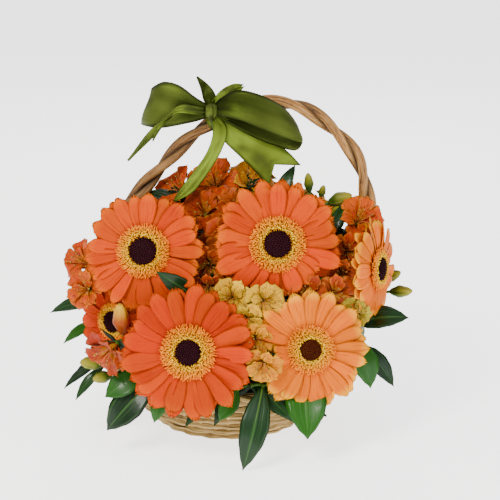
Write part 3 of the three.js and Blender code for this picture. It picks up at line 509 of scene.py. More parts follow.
@dataclass(frozen=True)
class RayPetalFinish:
    """A gerbera's ray petal: living tissue, satin smooth, finely grooved along its length, with
    painted shade in the grooves. Light passes into it a little, and its root is deeper and redder than its
    tip."""

    name: str = "ray_petal"
    root: str = "902200"
    middle: str = "b83c00"
    tip: str = "ca5600"
    # sunk is the colour of the painted shade in the grooves.
    sunk: str = "801600"
    width: float = 14.6
    groove: float = 1.1

    def material(self) -> Material:
        """Builds the material.

        Returns:
            The material, with grooves 1.1 mm apart.
        """
        skin = {"Roughness": 0.55, "IOR": 1.4, "Specular_IOR_Level": 0.06, "Subsurface_Weight": 0.03}
        depths = (0.003, 0.001, 0.0004)
        work = Surface(self.name, **skin, Subsurface_Radius=depths, Subsurface_Scale=1.0)
        stops = ((0.0, self.root), (0.35, self.middle), (0.75, self.middle), (0.95, self.tip))
        colour = work.add(RAMP, {0: work.place()["Y"]}, stops=stops)[0]
        # Painted shade: the grooves are darkened towards the sunk colour.
        groove = work.streaks(self.width / self.groove, 1.3)
        sunk = {"Value": groove, "From Min": 0.46, "From Max": 0.34, "To Max": 0.5}
        colour = work.toned(colour, sunk, self.sunk)
        return work.finish(work.varied(colour, 0.007, 0.3), groove, 0.3)


@dataclass(frozen=True)
class TepalFinish:
    """An alstroemeria tepal: thin, silky tissue with a paler throat and short dark dashes on it."""

    name: str
    throat: str
    middle: str
    edge: str
    dash: str = "5a1a12"
    dashes: float = 0.85
    width: float = 16.5
    vein: float = 1.5
    dash_gap: float = 1.1

    def material(self) -> Material:
        """Builds the material. The dashes keep to the middle of the length, off the throat and tip.

        Returns:
            The material.
        """
        skin = {"Roughness": 0.5, "IOR": 1.4, "Specular_IOR_Level": 0.16, "Subsurface_Weight": 0.06}
        depths = (0.003, 0.0012, 0.0006)
        work = Surface(self.name, **skin, Subsurface_Radius=depths, Subsurface_Scale=1.0)
        place = work.place()
        stops = [(0.0, self.throat), (0.3, self.throat), (0.55, self.middle)]
        stops += [(0.86, self.middle), (1.0, self.edge)]
        colour = work.add(RAMP, {0: place["Y"]}, stops=stops)[0]
        rim = {"Value": work.off_middle(place["X"]), "From Min": 0.3, "From Max": 0.5, "To Max": 0.75}
        colour = work.toned(colour, rim, self.edge)
        vein = work.streaks(self.width / self.vein, 1.2)
        shade = {"Value": vein, "From Min": 0.25, "From Max": 0.75, "To Min": 0.55, "To Max": 1.15}
        colour = work.toned(colour, shade)
        dash = work.streaks(self.width / self.dash_gap, 7.0, 0.0)
        dash = work.add(RANGE, {"Value": dash, "From Min": 0.62, "From Max": 0.66})[0]
        stops = ((0.12, "000000"), (0.3, "ffffff"), (0.66, "ffffff"), (0.84, "000000"))
        zone = work.add(RAMP, {0: place["Y"]}, stops=stops)[0]
        dash = work.add(MATH, {0: dash, 1: zone}, operation="MULTIPLY")[0]
        colour = work.toned(colour, {"Value": dash, "To Max": self.dashes}, self.dash)
        return work.finish(work.varied(colour, 0.012, 0.34), vein)


@dataclass(frozen=True)
class LeafFinish:
    """A cut foliage leaf: a waxed, leathery blade with a sunk midrib and fine parallel veins."""

    name: str = "waxed_leaf"
    blade: str = "0e280e"
    deep: str = "061408"
    fresh: str = "22560c"
    vein: str = "3c6628"
    width: float = 26.0
    vein_gap: float = 1.0

    def material(self) -> Material:
        """Builds the material.

        Returns:
            The material, with veins 1 mm apart.
        """
        wax = {"Coat_Weight": 0.12, "Coat_Roughness": 0.12}
        work = Surface(self.name, Roughness=0.34, IOR=1.45, Specular_IOR_Level=0.2, **wax)
        stops = ((0.0, self.deep), (0.5, self.blade), (1.0, self.fresh))
        tone = work.add(ATTRIBUTE, attribute_name="tone")["Fac"]
        colour = work.add(RAMP, {0: tone}, stops=stops)[0]
        colour = work.toned(colour, {"Value": work.streaks(3.0, 3.0), "To Min": 0.7, "To Max": 1.25})
        lines = work.streaks(self.width / self.vein_gap, 0.7, 1.0)
        lines = work.add(RANGE, {"Value": lines, "From Min": 0.52, "From Max": 0.72, "To Max": 0.3})[0]
        rib = {"Value": work.off_middle(work.place()["X"]), "From Min": 0.03, "From Max": 0.012}
        rib = work.add(RANGE, {**rib, "To Max": 0.6})[0]
        raised = work.add(MATH, {0: lines, 1: rib}, operation="MAXIMUM")[0]
        return work.finish(work.toned(colour, {"Value": raised}, self.vein), raised)


@dataclass(frozen=True)
class StalkFinish:
    """Green plant tissue seen along its length: stems, sepals and closed buds."""

    name: str
    root: str
    tip: str
    line: str
    lines: float = 0.35
    root_end: float = 0.3
    girth: float = 12.6
    rib: float = 0.9

    def material(self) -> Material:
        """Builds the material.

        Returns:
            The material, with ribs 0.9 mm apart.
        """
        work = Surface(self.name, Roughness=0.48, IOR=1.42, Specular_IOR_Level=0.2)
        stops = ((0.0, self.root), (self.root_end, self.root), (0.9, self.tip))
        colour = work.add(RAMP, {0: work.place()["Y"]}, stops=stops)[0]
        rib = work.streaks(self.girth / self.rib, 1.0)
        share = {"Value": rib, "From Min": 0.5, "From Max": 0.64, "To Max": self.lines}
        return work.finish(work.varied(work.toned(colour, share, self.line), 0.03, 0.24), rib, 0.3)


@dataclass(frozen=True)
class FloretFinish:
    """Tiny disc florets: soft tubes that are paler at their tips, each a little different."""

    name: str
    root: str
    tip: str
    hue: float = 0.03
    gloss: float = 0.1

    def material(self) -> Material:
        """Builds the material.

        Returns:
            The material.
        """
        work = Surface(self.name, Roughness=0.6, IOR=1.4, Specular_IOR_Level=self.gloss)
        stops = ((0.0, self.root), (0.75, self.tip))
        colour = work.add(RAMP, {0: work.place()["Y"]}, stops=stops)[0]
        return work.finish(work.varied(colour, self.hue, 0.4))


@dataclass(frozen=True)
class FibreFinish:
    """Dried leaf fibre, as used for baskets: dull, straw coloured, with long fine fibres and random
    darker patches. The fibres run along each strand. Painted shade darkens the hollows between twisted
    strands."""

    name: str
    light: str
    middle: str
    dark: str
    runs: float = 45.0
    # How far from the start, in metres, the strand is darker.
    darkened_length: float = 0.0
    # Adds painted shade in the hollows between twisted strands.
    twisted: bool = False
    girth: float = 26.0
    fibre: float = 1.8

    def material(self) -> Material:
        """Builds the material. The bundles of fibre are 1.8 mm apart, as coarse as they need to show.

        Returns:
            The material. It is darker along the first part of a strand's length where such a length is given,
            and painted shade darkens it between twisted strands.
        """
        work = Surface(self.name, Roughness=0.62, IOR=1.45, Specular_IOR_Level=0.3)
        names = ("around", "along", "which")
        parts = [work.add(ATTRIBUTE, attribute_name=name)["Fac"] for name in names]
        place = work.add(COMBINE, dict(zip("XYZ", parts)))[0]
        fine = {0: place, 1: (self.girth / self.fibre, self.runs, 11.7)}
        fine = work.add(VECTOR_MATH, fine, operation="MULTIPLY")[0]
        fibre = work.add(NOISE, {"Vector": fine, "Scale": 1.0, "Detail": 4.0, "Roughness": 0.7})[0]
        wide = work.add(VECTOR_MATH, {0: place, 1: (1.5, 22, 5.1)}, operation="MULTIPLY")[0]
        patch = work.add(NOISE, {"Vector": wide, "Scale": 1.0, "Detail": 1.0})[0]
        stops = ((0.35, self.dark), (0.45, self.middle), (0.64, self.light))
        colour = work.add(RAMP, {0: fibre}, stops=stops)[0]
        old = {"Value": patch, "From Min": 0.55, "From Max": 0.75, "To Max": 0.55}
        colour = work.toned(colour, old, self.dark)
        # Darker along the first part of the strand's length.
        if self.darkened_length:
            brown = {"Value": parts[1], "From Min": 0.7 * self.darkened_length, "From Max": 1.3 * self.darkened_length}
            colour = work.toned(colour, {**brown, "To Min": 0.62})
        # Painted shade: where the surface faces away from its strand's outward direction, towards the other
        # strand, it is darkened.
        if self.twisted:
            outward = work.add(ATTRIBUTE, attribute_name="outward")["Vector"]
            turned = {0: work.add("ShaderNodeNewGeometry")["Normal"], 1: outward}
            turned = work.add(VECTOR_MATH, turned, operation="DOT_PRODUCT")["Value"]
            crevice_shade = {"Value": turned, "From Min": -0.75, "From Max": 0.15, "To Min": 0.16}
            colour = work.toned(colour, crevice_shade)
        return work.finish(colour, fibre, 0.6)


@dataclass(frozen=True)
class SatinFinish:
    """Woven polyester satin ribbon: long floating threads give a soft, directional gloss, and a
    narrow selvage runs along both edges. Each length's tone is painted light, from a shaded to a lit
    green, and painted shade darkens each length towards its start, where it is gathered at the knot."""

    name: str = "olive_satin"
    # Painted light and shade: lit and shade are the greens of lit and shaded lengths, and face lies between
    # them.
    lit: str = "687a26"
    face: str = "40481c"
    shade: str = "161a06"
    sheen: str = "a4c444"
    width: float = 38.0
    thread: float = 0.63

    def material(self) -> Material:
        """Builds the material. Real threads are about 0.1 mm apart: they are drawn coarser to show.

        Returns:
            The material.
        """
        gloss = {"Anisotropic": 0.6, "Specular_IOR_Level": 0.4, "Specular_Tint": srgb(self.sheen)}
        work = Surface(self.name, Roughness=0.36, IOR=1.5, **gloss)
        place = work.place()
        # Painted light and shade: each length's tone, with a little cloudiness, picks its green from shade
        # through face to lit.
        cloud = {"Value": work.streaks(2.0, 5.0, 1.0), "To Min": -0.6, "To Max": 0.6}
        tone = work.add(ATTRIBUTE, attribute_name="tone")["Fac"]
        cloud = work.add(MATH, {0: tone, 1: work.add(RANGE, cloud)[0]})[0]
        stops = ((0.0, self.shade), (0.5, self.face), (1.0, self.lit))
        colour = work.add(RAMP, {0: cloud}, stops=stops)[0]
        # Painted shade: each length darkens towards its start, where it is gathered at the knot.
        gathered = {"Value": place["Y"], "From Min": 0.02, "From Max": 0.3, "To Min": 0.1}
        colour = work.toned(colour, gathered)
        thread = work.streaks(self.width / self.thread, 3.0, 2.0)
        colour = work.toned(colour, {"Value": thread, "To Min": 0.85, "To Max": 1.15})
        selvage = {"Value": work.off_middle(place["X"]), "From Min": 0.465, "From Max": 0.48, "To Max": 0.5}
        return work.finish(work.toned(colour, selvage, self.shade), thread, 0.2)


@dataclass(frozen=True)
class FoamFinish:
    """Wet floral foam: dull green, made of fine open cells."""

    name: str = "floral_foam"
    light: str = "4e6b45"
    dark: str = "2b4229"
    cell: float = 1.2

    def material(self) -> Material:
        """Builds the material. The cells are drawn larger than real ones so that they show.

        Returns:
            The material.
        """
        work = Surface(self.name, Roughness=0.9, IOR=1.4)
        place = work.add("ShaderNodeTexCoord")["Object"]
        cells = {"Vector": place, "Scale": 1 / (self.cell * MM)}
        cells = work.add("ShaderNodeTexVoronoi", cells)["Distance"]
        stops = ((0.1, self.dark), (0.7, self.light))
        return work.finish(work.add(RAMP, {0: cells}, stops=stops)[0], cells, 0.6)


@dataclass(frozen=True)
class LinerFinish:
    """Thin polythene liner: dark green film with a soft gloss and shallow creases."""

    name: str = "polythene_liner"
    film: str = "26352a"
    crest: str = "3a4c3e"
    crease: float = 9.0

    def material(self) -> Material:
        """Builds the material.

        Returns:
            The material, with creases 9 mm apart.
        """
        work = Surface(self.name, Roughness=0.32, IOR=1.51)
        place = work.add("ShaderNodeTexCoord")["Object"]
        fold = {"Vector": place, "Scale": 1 / (self.crease * MM), "Detail": 3.0, "Distortion": 0.8}
        fold = work.add(NOISE, fold)[0]
        stops = ((0.3, self.film), (0.8, self.crest))
        return work.finish(work.add(RAMP, {0: fold}, stops=stops)[0], fold, 1.0)


@dataclass(frozen=True)
class PaperFloorFinish:
    """Pale photographic paper under the object: matt, nearly white, with a very faint tooth."""

    name: str = "studio_paper"
    pit: str = "f6f6f5"
    tint: str = "fbfbfa"
    tooth: float = 3.3
    glow: float = 2.2

    def material(self) -> Material:
        """Builds the material. It glows a little, as paper on a light table does.

        Returns:
            The material.
        """
        glow = {"Emission_Color": srgb("ffffff"), "Emission_Strength": self.glow}
        work = Surface(self.name, Roughness=0.9, IOR=1.45, **glow)
        place = work.add("ShaderNodeTexCoord")["Object"]
        tooth = work.add(NOISE, {"Vector": place, "Scale": 1 / (self.tooth * MM)})[0]
        stops = ((0.0, self.pit), (1.0, self.tint))
        return work.finish(work.add(RAMP, {0: tooth}, stops=stops)[0])


class NodeRecipe:
    """A Geometry Nodes tree with named inputs, and the way to run it on an object."""

    def __init__(self, name: str, **inputs: Sequence[str]) -> None:
        """Starts the tree.

        Args:
            name: The tree's name.
            inputs: The kind of socket, and the names of the inputs of that kind.
        """
        self.tree = bpy.data.node_groups.new(name, "GeometryNodeTree")
        face = self.tree.interface
        face.new_socket("Geometry", in_out="OUTPUT", socket_type="NodeSocketGeometry")
        for kind, labels in {"Geometry": ["Geometry"], **inputs, "Material": ["Finish"]}.items():
            for label in labels:
                face.new_socket(label, in_out="INPUT", socket_type=f"NodeSocket{kind}")
        self.given = self.add("NodeGroupInput")

    def add(self, kind: str, links: Optional[dict] = None, **settings: object) -> Outputs:
        """Adds a node to this tree and returns its outputs."""
        return add_node(self.tree, kind, links, **settings).outputs

    def copied(self, line: Socket, count: Socket, along: str) -> tuple[Socket, Socket]:
        """Copies a curve and notes on each point how far along it is and which copy it is on.

        Args:
            line: The curve.
            count: How many copies it gets.
            along: The Spline Parameter output that says how far along a point is.

        Returns:
            The copies, and the output that tells them apart.
        """
        copies = {"Geometry": line, "Amount": count}
        curves, which = self.add("GeometryNodeDuplicateElements", copies, domain="SPLINE")[:2]
        far = self.add("GeometryNodeSplineParameter")[along]
        for name, value in (("along", far), ("which", which)):
            note = {"Geometry": curves, "Name": name, "Value": value}
            curves = self.add(STORE, note)[0]
        return curves, which

    def swept(self, line: Socket, sides: int, radius: float, shape: dict) -> None:
        """Sweeps a strand along each curve and ends the tree.

        Args:
            line: The curves.
            sides: How many sides the strand has.
            radius: The radius of its section before it is sized.
            shape: The section's size along X and Y.
        """
        section = {"Resolution": sides, "Radius": radius}
        section = self.add("GeometryNodeCurvePrimitiveCircle", section)[0]
        around = self.add("GeometryNodeSplineParameter")["Factor"]
        section = {"Geometry": section, "Name": "around", "Value": around}
        section = self.add(STORE, section)[0]
        size = self.add(COMBINE, {**shape, "Z": 1.0})[0]
        section = self.add("GeometryNodeTransform", {"Geometry": section, "Scale": size})[0]
        strand = {"Curve": line, "Profile Curve": section, "Fill Caps": True}
        self.finish(self.add("GeometryNodeCurveToMesh", strand)[0])

    def finish(self, geometry: Socket) -> None:
        """Ends the tree with real geometry in the given finish.

        Args:
            geometry: The tree's last geometry.
        """
        real = self.add("GeometryNodeRealizeInstances", {"Geometry": geometry})[0]
        real = self.add("GeometryNodeSetShadeSmooth", {"Geometry": real})[0]
        real = {"Geometry": real, "Material": self.given["Finish"]}
        self.add("NodeGroupOutput", {0: self.add("GeometryNodeSetMaterial", real)[0]})

    def run(self, obj: Piece, values: dict[str, object]) -> Piece:
        """Runs the tree on an object and keeps the result as a plain mesh.

        Args:
            obj: The object whose mesh or curve is the tree's geometry.
            values: Input name to value.

        Returns:
            A mesh object with the same name, at the origin.
        """
        modifier = obj.modifiers.new("recipe", "NODES")
        modifier.node_group = self.tree
        for item in self.tree.interface.items_tree:
            if item.in_out == "INPUT" and item.name in values:
                modifier[item.identifier] = values[item.name]
        bpy.context.view_layer.update()
        graph = bpy.context.evaluated_depsgraph_get()
        mesh = bpy.data.meshes.new_from_object(obj.evaluated_get(graph))
        name, source = obj.name, obj.data
        bpy.data.objects.remove(obj)
        if isinstance(source, bpy.types.Mesh):
            bpy.data.meshes.remove(source)
        mesh.name = name
        return show(name, mesh)


class TwistedStrands(NodeRecipe):
    """Lays several strands round a curve, like a rope."""

    def __init__(self) -> None:
        """Builds the tree."""
        sizes = ("Pitch", "Offset", "Strand Radius", "Flatness")
        super().__init__("twisted_strands", Int=("Strands", "Steps"), Float=sizes)
        line = {"Curve": self.given["Geometry"], "Count": self.given["Steps"]}
        line = self.add("GeometryNodeResampleCurve", line)[0]
        curves, which = self.copied(line, self.given["Strands"], "Length")
        far = self.add("GeometryNodeSplineParameter")["Length"]
        turns = self.add(MATH, {0: far, 1: self.given["Pitch"]}, operation="DIVIDE")[0]
        phase = self.add(MATH, {0: which, 1: self.given["Strands"]}, operation="DIVIDE")[0]
        turns = self.add(MATH, {0: turns, 1: phase})[0]
        angle = self.add(MATH, {0: turns, 1: math.tau}, operation="MULTIPLY")[0]
        cosine, sine = [self.add(MATH, {0: angle}, operation=kind)[0] for kind in ("COSINE", "SINE")]
        tangent = self.add("GeometryNodeInputTangent")[0]
        normal = self.add("GeometryNodeInputNormal")[0]
        side = self.add(VECTOR_MATH, {0: tangent, 1: normal}, operation="CROSS_PRODUCT")[0]
        one = self.add(VECTOR_MATH, {0: normal, "Scale": cosine}, operation="SCALE")[0]
        two = self.add(VECTOR_MATH, {0: side, "Scale": sine}, operation="SCALE")[0]
        outward = self.add(VECTOR_MATH, {0: one, 1: two})[0]
        noted = {"Geometry": curves, "Name": "outward", "Value": outward}
        curves = self.add(STORE, noted, data_type="FLOAT_VECTOR")[0]
        thick = self.add("GeometryNodeInputRadius")[0]
        reach = self.add(MATH, {0: self.given["Offset"], 1: thick}, operation="MULTIPLY")[0]
        offset = self.add(VECTOR_MATH, {0: outward, "Scale": reach}, operation="SCALE")[0]
        wound = self.add("GeometryNodeSetPosition", {"Geometry": curves, "Offset": offset})[0]
        round_size = self.given["Strand Radius"]
        flat = self.add(MATH, {0: round_size, 1: self.given["Flatness"]}, operation="MULTIPLY")[0]
        self.swept(wound, sides=12, radius=1.0, shape={"X": round_size, "Y": flat})


class WovenHoops(NodeRecipe):
    """Weaves flat hoops in front of and behind upright stakes, on a flared wall."""

    def __init__(self) -> None:
        """Builds the tree."""
        sizes = ["Base Radius", "Mouth Radius", "Wall Height", "Swing", "Strand Height"]
        sizes += ["Strand Thickness", "Slope"]
        super().__init__("woven_hoops", Int=("Rows", "Stakes"), Float=sizes)
        given = self.given
        hoop = self.add("GeometryNodeCurvePrimitiveCircle", {"Resolution": 400, "Radius": 1.0})[0]
        curves, which = self.copied(hoop, given["Rows"], "Factor")
        far = self.add("GeometryNodeSplineParameter")["Factor"]
        angle = self.add(MATH, {0: far, 1: math.tau}, operation="MULTIPLY")[0]
        place = self.add(MATH, {0: which, 1: 0.5})[0]
        share = self.add(MATH, {0: place, 1: given["Rows"]}, operation="DIVIDE")[0]
        bowed = self.add(MATH, {0: share, 1: 0.85}, operation="POWER")[0]
        flare = {0: given["Mouth Radius"], 1: given["Base Radius"]}
        flare = self.add(MATH, flare, operation="SUBTRACT")[0]
        radius = self.add(MATH, {0: flare, 1: bowed, 2: given["Base Radius"]}, operation="MULTIPLY_ADD")[0]
        half = self.add(MATH, {0: given["Stakes"], 1: 0.5}, operation="MULTIPLY")[0]
        swing = self.add(MATH, {0: which, 1: math.pi}, operation="MULTIPLY")[0]
        swing = self.add(MATH, {0: angle, 1: half, 2: swing}, operation="MULTIPLY_ADD")[0]
        swing = self.add(MATH, {0: swing}, operation="SINE")[0]
        radius = self.add(MATH, {0: swing, 1: given["Swing"], 2: radius}, operation="MULTIPLY_ADD")[0]
        cosine, sine = [self.add(MATH, {0: angle}, operation=kind)[0] for kind in ("COSINE", "SINE")]
        factors = {"X": (cosine, radius), "Y": (sine, radius), "Z": (share, given["Wall Height"])}
        parts = {}
        for axis, (one, two) in factors.items():
            parts[axis] = self.add(MATH, {0: one, 1: two}, operation="MULTIPLY")[0]
        where = self.add(COMBINE, parts)[0]
        laid = self.add("GeometryNodeSetPosition", {"Geometry": curves, "Position": where})[0]
        laid = self.add("GeometryNodeSetCurveNormal", {"Curve": laid}, mode="Z_UP")[0]
        laid = self.add("GeometryNodeSetCurveTilt", {"Curve": laid, "Tilt": given["Slope"]})[0]
        shape = {"X": given["Strand Thickness"], "Y": given["Strand Height"]}
        self.swept(laid, sides=10, radius=0.5, shape=shape)


class PlacedCopies(NodeRecipe):
    """Puts a copy of a pattern piece on each point, turned, sized and picked by the point's own
    attributes."""

    def __init__(self) -> None:
        """Builds the tree."""
        super().__init__("placed_copies", Collection=["Patterns"])
        patterns = {"Collection": self.given["Patterns"], "Separate Children": True, "Reset Children": True}
        patterns = self.add("GeometryNodeCollectionInfo", patterns)[0]
        notes = (("turn", "FLOAT_VECTOR"), ("size", "FLOAT_VECTOR"), ("pick", "INT"))
        turn, size, pick = [
            self.add("GeometryNodeInputNamedAttribute", {"Name": name}, data_type=kind)[0]
            for name, kind in notes
        ]
        copies = {
            "Points": self.given["Geometry"],
            "Instance": patterns,
            "Pick Instance": True,
            "Instance Index": pick,
            "Rotation": self.add("FunctionNodeEulerToRotation", {0: turn})[0],
            "Scale": size,
        }
        self.finish(self.add("GeometryNodeInstanceOnPoints", copies)[0])


@dataclass
class Spot:
    """Where one copy goes: its matrix in millimetres, its size, its pattern and its tone."""

    matrix: Matrix
    size: Triple
    pick: int
    tone: float


@dataclass
class Scatter:
    """Makes one piece from many copies of a few pattern meshes."""

    recipe: PlacedCopies

    def piece(
        self, name: str, patterns: Sequence[MeshDraft], finish: Material, spots: Sequence[Spot]
    ) -> Piece:
        """Places the copies.

        Args:
            name: The piece's name.
            patterns: The pattern drafts, in millimetres round their own root.
            finish: The material of every copy.
            spots: Where the copies go.

        Returns:
            The piece as a plain mesh object.
        """
        folder = bpy.data.collections.new(f"{name}_patterns")
        for i, draft in enumerate(patterns):
            mesh = draft.mesh(f"{name}_pattern_{i:02d}", [finish])
            mesh.attributes.remove(mesh.attributes["tone"])
            folder.objects.link(bpy.data.objects.new(mesh.name, mesh))
        cloud = bpy.data.meshes.new(name)
        cloud.from_pydata([spot.matrix.translation * MM for spot in spots], [], [])
        for label, kind, key, values in (
            ("turn", "FLOAT_VECTOR", "vector", [a for s in spots for a in s.matrix.to_euler("XYZ")]),
            ("size", "FLOAT_VECTOR", "vector", [a for s in spots for a in s.size]),
            ("pick", "INT", "value", [s.pick for s in spots]),
            ("tone", "FLOAT", "value", [s.tone for s in spots]),
        ):
            cloud.attributes.new(label, kind, "POINT").data.foreach_set(key, values)
        made = self.recipe.run(show(name, cloud), {"Patterns": folder, "Finish": finish})
        for mesh in [model.data for model in folder.objects]:
            bpy.data.meshes.remove(mesh)
        bpy.data.collections.remove(folder)
        return made


class Colourway(Enum):
    """The colours that a stem's flowers come in."""

    ORANGE = "orange"
    GOLD = "gold"
    RUST = "rust"
    BRONZE = "bronze"
    YELLOW = "yellow"
    GREEN = "green"
    LEAF = "leaf"

    @property
    def slot(self) -> str:
        """The record's material slot for this colourway."""
        return "leaf" if self is Colourway.LEAF else f"bloom_{self.value}"


@dataclass(frozen=True)
class GerberaHead:
    """One gerbera. A short petal's direction and half sector are in degrees on the head."""

    number: int
    at: Triple
    facing: Triple
    radius: float
    ring: float
    eye: float
    seed: int
    short: Optional[Triple] = None


@dataclass(frozen=True)
class Bloom:
    """One open alstroemeria flower."""

    at: Triple
    facing: Triple
    radius: float
    seed: int
    turn: float = 0.0


@dataclass(frozen=True)
class Bud:
    """One closed bud."""

    at: Triple
    pointing: Triple
    length: float
    radius: float


@dataclass(frozen=True)
class Leaf:
    """One leaf blade, from its root to its tip."""

    start: Triple
    end: Triple
    half: float
    face: Triple
    bow: float = 0.1
    fold: float = 0.15


@dataclass
class Plant:
    """One cut stem that forks to its blooms, buds or leaves."""

    name: str
    colourway: Colourway = Colourway.LEAF
    anchor: Optional[Triple] = None
    blooms: Sequence[Bloom] = ()
    buds: Sequence[Bud] = ()
    leaves: Sequence[Leaf] = ()

    def fork(self) -> Vector:
        """Finds the fork. Where none is given, it is behind the flowers on the way to the foam.

        Returns:
            Its place.
        """
        if self.anchor:
            return Vector(self.anchor)
        backs = [Vector(b.at) - Vector(b.facing).normalized() * 14 for b in self.blooms]
        backs += [Vector(b.at) - Vector(b.pointing).normalized() * 8 for b in self.buds]
        mean = sum(backs, Vector()) / len(backs)
        return mean + (STEM_CENTRE - mean).normalized() * 20


STEM_CENTRE = Vector((0, 0, 10))

GERBERA_HEADS = [
    GerberaHead(1, (-68, -72, 167), (-0.12, -0.93, 0.34), 49, 23.5, 12, 11),
    GerberaHead(2, (40, -72, 173), (0.05, -0.95, 0.3), 53, 25, 12, 22, short=(280, 48, 0.8)),
    GerberaHead(3, (-31, -116, 96), (-0.06, -0.965, 0.25), 54, 24, 11, 33),
    GerberaHead(4, (66, -103, 94), (0.1, -0.96, 0.24), 48, 21.5, 9, 44, short=(182, 24, 0.66)),
    GerberaHead(5, (121, -56, 148), (0.9, -0.42, 0.06), 42, 19, 10, 55),
    GerberaHead(6, (-92, -62, 105), (-0.55, -0.82, 0.12), 39, 17.5, 9.5, 66, short=(120, 25, 0.84)),
    GerberaHead(7, (22, 82, 142), (0.12, 0.86, 0.5), 48, 22, 10, 77),
]

SPRAYS = [
    Plant("alstroemeria_top_orange", Colourway.ORANGE, blooms=[
        Bloom((-11, 2, 201), (-0.05, -0.7, 0.7), 21, 1),
        Bloom((-36, 8, 194), (-0.55, -0.5, 0.65), 20, 2, turn=0.4),
        Bloom((-12, 34, 192), (-0.2, 0.5, 0.85), 19, 27),
    ]),
    Plant("alstroemeria_top_gold", Colourway.GOLD, blooms=[
        Bloom((15, 8, 198), (0.35, -0.6, 0.7), 20, 3),
        Bloom((18, 36, 190), (0.35, 0.45, 0.8), 20, 4),
    ]),
    Plant("alstroemeria_rust", Colourway.RUST, blooms=[
        Bloom((-47, -20, 182), (-0.45, -0.8, 0.4), 16, 5),
        Bloom((-19, -18, 183), (-0.1, -0.85, 0.5), 19, 6, turn=0.3),
        Bloom((-27, -30, 171), (-0.15, -0.97, 0.15), 17, 28, turn=0.8),
    ]),
    Plant("alstroemeria_bronze", Colourway.BRONZE, blooms=[
        Bloom((5, -18, 187), (0.1, -0.85, 0.5), 17, 7),
        Bloom((-2, -36, 170), (0, -0.97, 0.2), 18, 8, turn=0.5),
        Bloom((-15, -50, 151), (-0.1, -0.98, 0.05), 17, 9),
        Bloom((9, -54, 149), (0.1, -0.98, 0.05), 17, 29, turn=0.3),
        Bloom((-15, -64, 137), (-0.05, -0.97, -0.1), 14, 31, turn=0.7),
    ]),
    Plant("alstroemeria_yellow", Colourway.YELLOW, blooms=[
        Bloom((4, -80, 131), (-0.1, -0.95, 0.25), 16, 10),
        Bloom((28, -82, 129), (0.15, -0.97, 0.2), 16, 11, turn=0.5),
        Bloom((15, -88, 117), (0, -0.98, 0), 14, 30, turn=0.9),
    ]),
    Plant("alstroemeria_low_gold", Colourway.GOLD, blooms=[
        Bloom((22, -98, 103), (0.05, -0.98, 0), 14, 12),
        Bloom((29, -108, 87), (-0.05, -0.98, -0.15), 15, 13, turn=0.3),
    ]),
    Plant("alstroemeria_right_orange", Colourway.ORANGE, blooms=[
        Bloom((106, -18, 175), (0.3, -0.75, 0.6), 20, 14),
        Bloom((97, -38, 158), (0.15, -0.97, 0.2), 17, 15, turn=0.4),
    ]),
    Plant("alstroemeria_right_bronze", Colourway.BRONZE, blooms=[
        Bloom((64, -70, 132), (0, -0.95, 0.3), 16, 16),
        Bloom((86, -66, 130), (0.15, -0.95, 0.2), 17, 17, turn=0.5),
        Bloom((92, -56, 145), (0, -0.98, 0.15), 13, 32, turn=0.2),
    ]),
    Plant("alstroemeria_right_green", Colourway.GREEN, blooms=[
        Bloom((102, -72, 117), (0.1, -0.98, 0.1), 13, 18),
    ], buds=[
        Bud((136, -22, 118), (0.9, -0.4, 0.15), 20, 5),
        Bud((131, -14, 126), (0.8, -0.3, 0.5), 17, 4.5),
    ]),
    Plant("alstroemeria_left_orange", Colourway.ORANGE, anchor=(-92, -24, 146), blooms=[
        Bloom((-114, -32, 145), (-0.7, -0.6, 0.45), 18, 19),
        Bloom((-113, -62, 132), (-0.3, -0.93, 0.3), 16, 20, turn=0.4),
    ]),
    Plant("alstroemeria_left_red", Colourway.RUST, anchor=(-60, -90, 73), blooms=[
        Bloom((-90, -88, 94), (-0.55, -0.75, -0.35), 20, 21),
    ], buds=[
        Bud((-84, -93, 104), (-0.1, -0.1, 1), 27, 7),
    ]),
    Plant("bud_spray_left", Colourway.GREEN, anchor=(-78, -54, 62), buds=[
        Bud((-102, -66, 70), (-0.85, -0.4, 0.15), 22, 6),
        Bud((-96, -70, 61), (-0.85, -0.4, -0.1), 17, 5),
    ]),
    Plant("alstroemeria_back_left", Colourway.BRONZE, blooms=[
        Bloom((-50, 52, 165), (-0.5, 0.6, 0.6), 21, 22),
        Bloom((-74, 28, 148), (-0.85, 0.3, 0.45), 20, 23, turn=0.5),
        Bloom((-52, 84, 122), (-0.4, 0.85, 0.3), 20, 24),
        Bloom((-16, 62, 174), (-0.1, 0.8, 0.6), 19, 33, turn=0.3),
    ]),
    Plant("alstroemeria_back_right", Colourway.YELLOW, blooms=[
        Bloom((80, 34, 164), (0.6, 0.4, 0.7), 21, 25),
        Bloom((84, 74, 120), (0.6, 0.75, 0.25), 20, 26, turn=0.5),
        Bloom((52, 44, 176), (0.3, 0.6, 0.75), 18, 34, turn=0.2),
    ]),
    Plant("bud_spray_top_right", Colourway.GREEN, buds=[
        Bud((68, -4, 200), (-0.1, -0.1, 1), 17, 4),
        Bud((77, -8, 196), (0.2, -0.2, 0.9), 12, 3),
        Bud((84, -10, 192), (0.75, -0.3, 0.35), 22, 6),
        Bud((86, -12, 182), (0.4, -0.5, 0.5), 14, 4),
    ]),
]

